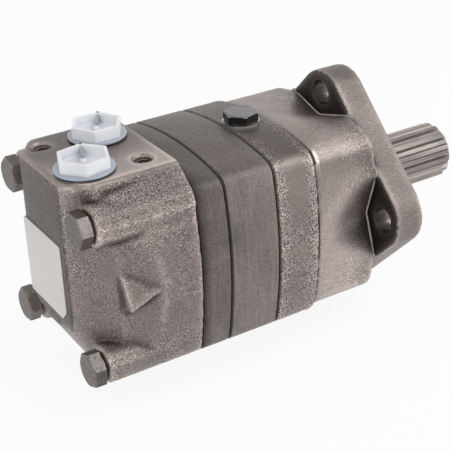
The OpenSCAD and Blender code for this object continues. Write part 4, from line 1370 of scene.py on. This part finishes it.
class MOTOR_OT_transit_plugs(bpy.types.Operator):
    """Two white transit plugs: a hexagon cup with a web and a nub, on a bluish disc"""

    bl_idname = "motor.transit_plugs"
    bl_label = "Transit plugs"

    def execute(self, context):
        across = sizes().plug_across / MM
        corner = across / 2 / math.cos(math.pi / 6)
        base = (low("rear_plug_ring", 2) + high("rear_plug_ring", 2)) / 2 + 0.4
        height = high("rear_transit_plug", 2) - base
        for body, side, turn in (("rear_plug", -1, 70), ("front_plug", 1, 60)):
            node = body.replace("plug", "transit_plug")
            whole = self.plug(across, corner, height)
            place = moved(PORT_X + side * PORT_DX, side * PORT_DY, base) @ turned(turn, "Z")
            bmesh.ops.transform(whole, matrix=place, verts=whole.verts)
            mesh = mesh_of(whole)
            shade_by_angle(mesh, 40)
            indices = [p.material_index for p in mesh.polygons]
            piece = new_piece(
                node + "_body", mesh, "plug_plastic", "disc_plastic", "gate_mark", "web_plastic"
            )
            mesh.polygons.foreach_set("material_index", indices)
            settle(piece, body, "white_plastic", node)
        return {"FINISHED"}

    def plug(self, across, corner, height):
        """A plug on the port's axis, its disc's underside at zero. Lengths are in millimetres."""
        up = turned(-90, "Y")
        nub = [(0, 1.4), (1.6, 1.4), (1.5, height - 2.8), (1.1, height - 2.4), (0, height - 2.4)]
        cup = [hexagon_cup(across, 1.7, height, 2.2), lathe_along_x(nub, 32, turn=up)]
        flange = [
            lathe_along_x(PLUG_DISC, 96, turn=up),
            lathe_along_x(PLUG_SHANK, 64, turn=up),
            thread(
                "plug_thread", 9.0, sizes().port_pitch, 7.2, 0.24, "plug_plastic", moved(0, 0, -8.4)
            ),
        ]
        # The web is drawn in the darker plastic as a painted shadow.
        web = bevelled_box((1.0, -0.7, 1.2), (corner - 2.4, 1.4, height - 2.2), 0.2)
        gate = lathe_along_x(GATE_PROFILE, 20, turn=moved(corner - 1.0, 0, height - 0.05) @ up)
        parts = [joined(cup), joined(flange), gate, web]
        for index, part in enumerate(parts):
            for face in part.faces:
                face.material_index = index
        return joined(parts)


class MOTOR_OT_label(bpy.types.Operator):
    """Bare label plate on the rear pad"""

    bl_idname = "motor.label"
    bl_label = "Label plate"

    def execute(self, context):
        bm = cad_copy("label_plate")
        bmesh.ops.dissolve_limit(bm, angle_limit=0.02, verts=bm.verts, edges=bm.edges)
        upright_edges = [e for e in bm.edges if abs(e.verts[0].co.x - e.verts[1].co.x) > 1e-5]
        bmesh.ops.bevel(
            bm, geom=upright_edges, offset=1.2 * MM, segments=5, profile=0.5, affect="EDGES"
        )
        ringed(bm, lambda e: sharp(e, 60), 0.12 * MM)
        mesh = mesh_of(bm)
        shade_by_angle(mesh, 30)
        settle(new_piece("label_face", mesh, "label_foil"), "housing", "label", "label_plate")
        return {"FINISHED"}


# Shaft and front end


# Outer and root radius of the output spline, and where the plain CAD shaft gives way to it
SPLINE_R, ROOT_R, SPLINE_X = 15.6, 13.4, 9.0
TOOTH_STEPS = 24


def spline_outline(teeth):
    """Angles and radii round the spline: rounded spaces between flat-topped teeth."""
    outline = []
    for i in range(teeth * TOOTH_STEPS):
        gap = abs((i % TOOTH_STEPS) / TOOTH_STEPS - 0.5) * 2
        space = max(0.0, 1 - gap / 0.62)
        r = SPLINE_R - (SPLINE_R - ROOT_R) * min(1.0, 1.55 * math.sqrt(space))
        outline.append((2 * math.pi * i / (teeth * TOOTH_STEPS), r))
    return outline


class MOTOR_OT_shaft(bpy.types.Operator):
    """Splined output shaft with rounded tooth spaces and a chamfered end"""

    bl_idname = "motor.shaft"
    bl_label = "Output shaft"

    def execute(self, context):
        end = high("output_shaft", 0)
        plain = cad_copy("output_shaft")
        result = bmesh.ops.bisect_plane(
            plain,
            geom=plain.verts[:] + plain.edges[:] + plain.faces[:],
            plane_co=(SPLINE_X * MM, 0, 0),
            plane_no=(1, 0, 0),
            clear_outer=True,
        )
        rim = [e for e in result["geom_cut"] if isinstance(e, bmesh.types.BMEdge)]
        bmesh.ops.holes_fill(plain, edges=rim, sides=0)
        # Stations along the spline, each with the largest radius there
        stations = [
            (SPLINE_X - 1.0, 20.0),
            (10.6, 20.0),
            (end - 1.9, 20.0),
            (end - 1.7, SPLINE_R - 0.05),
            (end - 1.0, SPLINE_R - 0.75),
            (end - 0.25, SPLINE_R - 1.6),
            (end, SPLINE_R - 2.0),
            (end, 9.0),
            (end - 0.05, 3.2),
            (end - 3.0, 0.4),
        ]
        spline = bmesh.new()
        rings = []
        for x, limit in stations:
            ring = []
            for a, r in spline_outline(sizes().spline_teeth):
                r = min(r, limit)
                point = (x * MM, r * math.cos(a) * MM, r * math.sin(a) * MM)
                ring.append(spline.verts.new(point))
            rings.append(ring)
        mesh = mesh_of(joined([plain, skinned(spline, rings)]))
        shade_by_angle(mesh, 32)
        piece = new_piece("splined_shaft", mesh, "shaft_steel")
        settle(piece, "shaft", "shaft_steel", "output_shaft")
        return {"FINISHED"}


class MOTOR_OT_front_end(bpy.types.Operator):
    """Front cover with its pilot, its socket screws and its dust seal"""

    bl_idname = "motor.front_end"
    bl_label = "Front cover and screws"

    def execute(self, context):
        for node, name, material, slot in (
            ("front_cover", "pilot_cover", "turned_iron", "turned_iron"),
            ("front_cover_screws", "cover_screw_set", "black_steel", "black_steel"),
            ("dust_seal", "dust_seal_lip", "rubber", "rubber"),
        ):
            bm = cad_copy(node)
            bmesh.ops.dissolve_limit(
                bm, angle_limit=math.radians(1), verts=bm.verts, edges=bm.edges
            )
            ringed(bm, lambda e: sharp(e, 40), 0.2 * MM)
            mesh = mesh_of(bm)
            shade_by_angle(mesh, 30)
            settle(new_piece(name, mesh, material), "housing", slot, node)
        return {"FINISHED"}


CARRIED = {
    "rubber": (
        "front_cover_ring", "shaft_seal", "balance_ring", "section_rings",
        "rear_plug_ring", "front_plug_ring",
    ),
    "inner_steel": (
        "front_bearing_cone", "front_bearing_cup", "front_bearing_rollers",
        "rear_bearing_cone", "rear_bearing_cup", "rear_bearing_rollers",
        "check_ball_left", "check_ball_right", "star_gear", "guide_pins",
    ),
    "pressed_steel": (
        "front_bearing_cage", "rear_bearing_cage", "lock_washer", "bearing_nut",
        "cardan_shaft", "valve_drive", "drive_spacer", "balance_springs",
    ),
    "turned_iron": ("wear_plate", "balance_plate", "disc_valve"),
    "seat_brass": ("check_seats",),
    "washer_metal": ("drain_washer",),
}


class MOTOR_OT_inner_parts(bpy.types.Operator):
    """Finishes of the CAD pieces that are shown as they are"""

    bl_idname = "motor.inner_parts"
    bl_label = "Inner parts"

    def execute(self, context):
        rollers = tuple(n for n in NODES if n.startswith("gear_roller_"))
        for material, names in {**CARRIED, "inner_steel": CARRIED["inner_steel"] + rollers}.items():
            for name in names:
                NODES[name].data.materials.clear()
                NODES[name].data.materials.append(finish(material))
        return {"FINISHED"}


# Stage

# How much of the floor's colour is glow to seen rays, and the world's light on the object
GLOW_SHARE, WORLD_FILL = 0.9, 0.6


def area_light(name, place, target, width, height, watts):
    lamp = bpy.data.lights.new(name, "AREA")
    lamp.shape = "RECTANGLE"
    lamp.size = width
    lamp.size_y = height
    lamp.energy = watts
    holder = bpy.data.objects.new(name, lamp)
    holder.location = place
    holder.rotation_mode = "QUATERNION"
    aim = Vector(target) - Vector(place)
    holder.rotation_quaternion = aim.to_track_quat("-Z", "Y")
    bpy.context.scene.collection.objects.link(holder)


def seen_rays(nodes, links):
    """1 for camera, glossy and transmission rays, and 0 for the rest."""
    path = nodes.new("ShaderNodeLightPath")
    seen = path.outputs["Is Camera Ray"]
    for kind in ("Is Glossy Ray", "Is Transmission Ray"):
        either = nodes.new("ShaderNodeMath")
        either.operation = "MAXIMUM"
        links.new(seen, either.inputs[0])
        links.new(path.outputs[kind], either.inputs[1])
        seen = either.outputs[0]
    return seen


def floor_material():
    """A pale floor that takes shadows, and that seen rays find nearly white."""
    material = bpy.data.materials.new("pale_floor")
    material.use_nodes = True
    nodes, links = material.node_tree.nodes, material.node_tree.links
    shader = nodes["Principled BSDF"]
    shader.inputs["Base Color"].default_value = (0.95, 0.95, 0.95, 1)
    shader.inputs["Roughness"].default_value = 0.9
    shader.inputs["Specular IOR Level"].default_value = 0.0
    glow = nodes.new("ShaderNodeEmission")
    glow.inputs["Color"].default_value = (1, 1, 1, 1)
    glow.inputs["Strength"].default_value = 1.0
    share = nodes.new("ShaderNodeMath")
    share.operation = "MULTIPLY"
    share.inputs[1].default_value = GLOW_SHARE
    links.new(seen_rays(nodes, links), share.inputs[0])
    mix = nodes.new("ShaderNodeMixShader")
    links.new(share.outputs[0], mix.inputs[0])
    links.new(shader.outputs[0], mix.inputs[1])
    links.new(glow.outputs[0], mix.inputs[2])
    links.new(mix.outputs[0], nodes["Material Output"].inputs[0])
    return material


FLOOR_GAP, FLOOR_HALF = 0.3 * MM, 4.0
FLOOR_CORNERS = ((-1, -1), (1, -1), (1, 1), (-1, 1))
LIGHT_AIM = (-0.06, 0.0, 0.0)
# Each lamp's place, width, height and watts
LAMPS = {
    "overhead": ((0.4, -0.45, 0.8), 0.8, 0.7, 3.0),
    "right_box": ((0.85, -0.35, 0.02), 0.3, 0.5, 2.0),
    "left_box": ((-0.85, -0.55, 0.6), 0.4, 0.4, 1.5),
}
# The camera's place, and its right, up and forward directions
CAMERA_AT = (-0.3594, -0.4694, 0.2782)
CAMERA_AXES = ((0.8467, -0.5307, -0.0372), (0.2661, 0.3619, 0.8934), (0.4607, 0.7664, -0.4477))


class MOTOR_OT_stage(bpy.types.Operator):
    """Pale floor, soft lights and the camera"""

    bl_idname = "motor.stage"
    bl_label = "Stage"

    def execute(self, context):
        scene = context.scene
        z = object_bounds()[0].z - FLOOR_GAP
        mesh = bpy.data.meshes.new("floor")
        corners = [(x * FLOOR_HALF, y * FLOOR_HALF, z) for x, y in FLOOR_CORNERS]
        mesh.from_pydata(corners, [], [(0, 1, 2, 3)])
        floor = bpy.data.objects.new("floor", mesh)
        mesh.materials.append(floor_material())
        scene.collection.objects.link(floor)
        floor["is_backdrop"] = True
        for name, (place, width, height, watts) in LAMPS.items():
            area_light(name, place, LIGHT_AIM, width, height, watts)

        world = bpy.data.worlds.new("studio")
        world.use_nodes = True
        nodes, links = world.node_tree.nodes, world.node_tree.links
        back = nodes["Background"]
        back.inputs["Color"].default_value = (1, 1, 1, 1)
        level = nodes.new("ShaderNodeMapRange")
        level.inputs["To Min"].default_value = WORLD_FILL
        level.inputs["To Max"].default_value = 1.0
        links.new(seen_rays(nodes, links), level.inputs["Value"])
        links.new(level.outputs["Result"], back.inputs["Strength"])
        scene.world = world

        lens = bpy.data.cameras.new("camera")
        lens.lens = 93.75
        lens.sensor_width = 36.0
        lens.shift_x, lens.shift_y = -0.0022, -0.0423
        lens.clip_start, lens.clip_end = 0.01, 20
        camera = bpy.data.objects.new("camera", lens)
        right, up, forward = (Vector(axis) for axis in CAMERA_AXES)
        turn = Matrix((right, up, -forward)).transposed().to_4x4()
        camera.matrix_world = Matrix.Translation(CAMERA_AT) @ turn
        scene.collection.objects.link(camera)
        scene.camera = camera
        scene.view_settings.view_transform = "Standard"
        return {"FINISHED"}


class MOTOR_PT_panel(bpy.types.Panel):
    """The motor's sizes, colours and pieces"""

    bl_idname = "MOTOR_PT_panel"
    bl_label = "Orbital motor"
    bl_space_type = "VIEW_3D"
    bl_region_type = "UI"
    bl_category = "Motor"

    def draw(self, context):
        for group in (context.scene.motor_sizes, context.scene.motor_colours):
            box = self.layout.box()
            for name in group.__annotations__:
                box.prop(group, name)
        column = self.layout.column(align=True)
        for operator in OPERATORS:
            column.operator(operator.bl_idname)


OPERATORS = (
    MOTOR_OT_housing,
    MOTOR_OT_cover,
    MOTOR_OT_sections,
    MOTOR_OT_tie_bolts,
    MOTOR_OT_drain_plug,
    MOTOR_OT_transit_plugs,
    MOTOR_OT_label,
    MOTOR_OT_shaft,
    MOTOR_OT_front_end,
    MOTOR_OT_inner_parts,
    MOTOR_OT_stage,
)
CLASSES = (MotorColours, MotorSizes, *OPERATORS, MOTOR_PT_panel)


def register():
    for cls in CLASSES:
        bpy.utils.register_class(cls)
    bpy.types.Scene.motor_sizes = PointerProperty(type=MotorSizes)
    bpy.types.Scene.motor_colours = PointerProperty(type=MotorColours)


def unregister():
    del bpy.types.Scene.motor_colours
    del bpy.types.Scene.motor_sizes
    for cls in reversed(CLASSES):
        bpy.utils.unregister_class(cls)


def main():
    register()
    bpy.ops.motor.housing()
    bpy.ops.motor.cover()
    bpy.ops.motor.sections()
    bpy.ops.motor.tie_bolts()
    bpy.ops.motor.drain_plug()
    bpy.ops.motor.transit_plugs()
    bpy.ops.motor.label()
    bpy.ops.motor.shaft()
    bpy.ops.motor.front_end()
    bpy.ops.motor.inner_parts()
    bpy.ops.motor.stage()


if __name__ == "__main__":
    main()
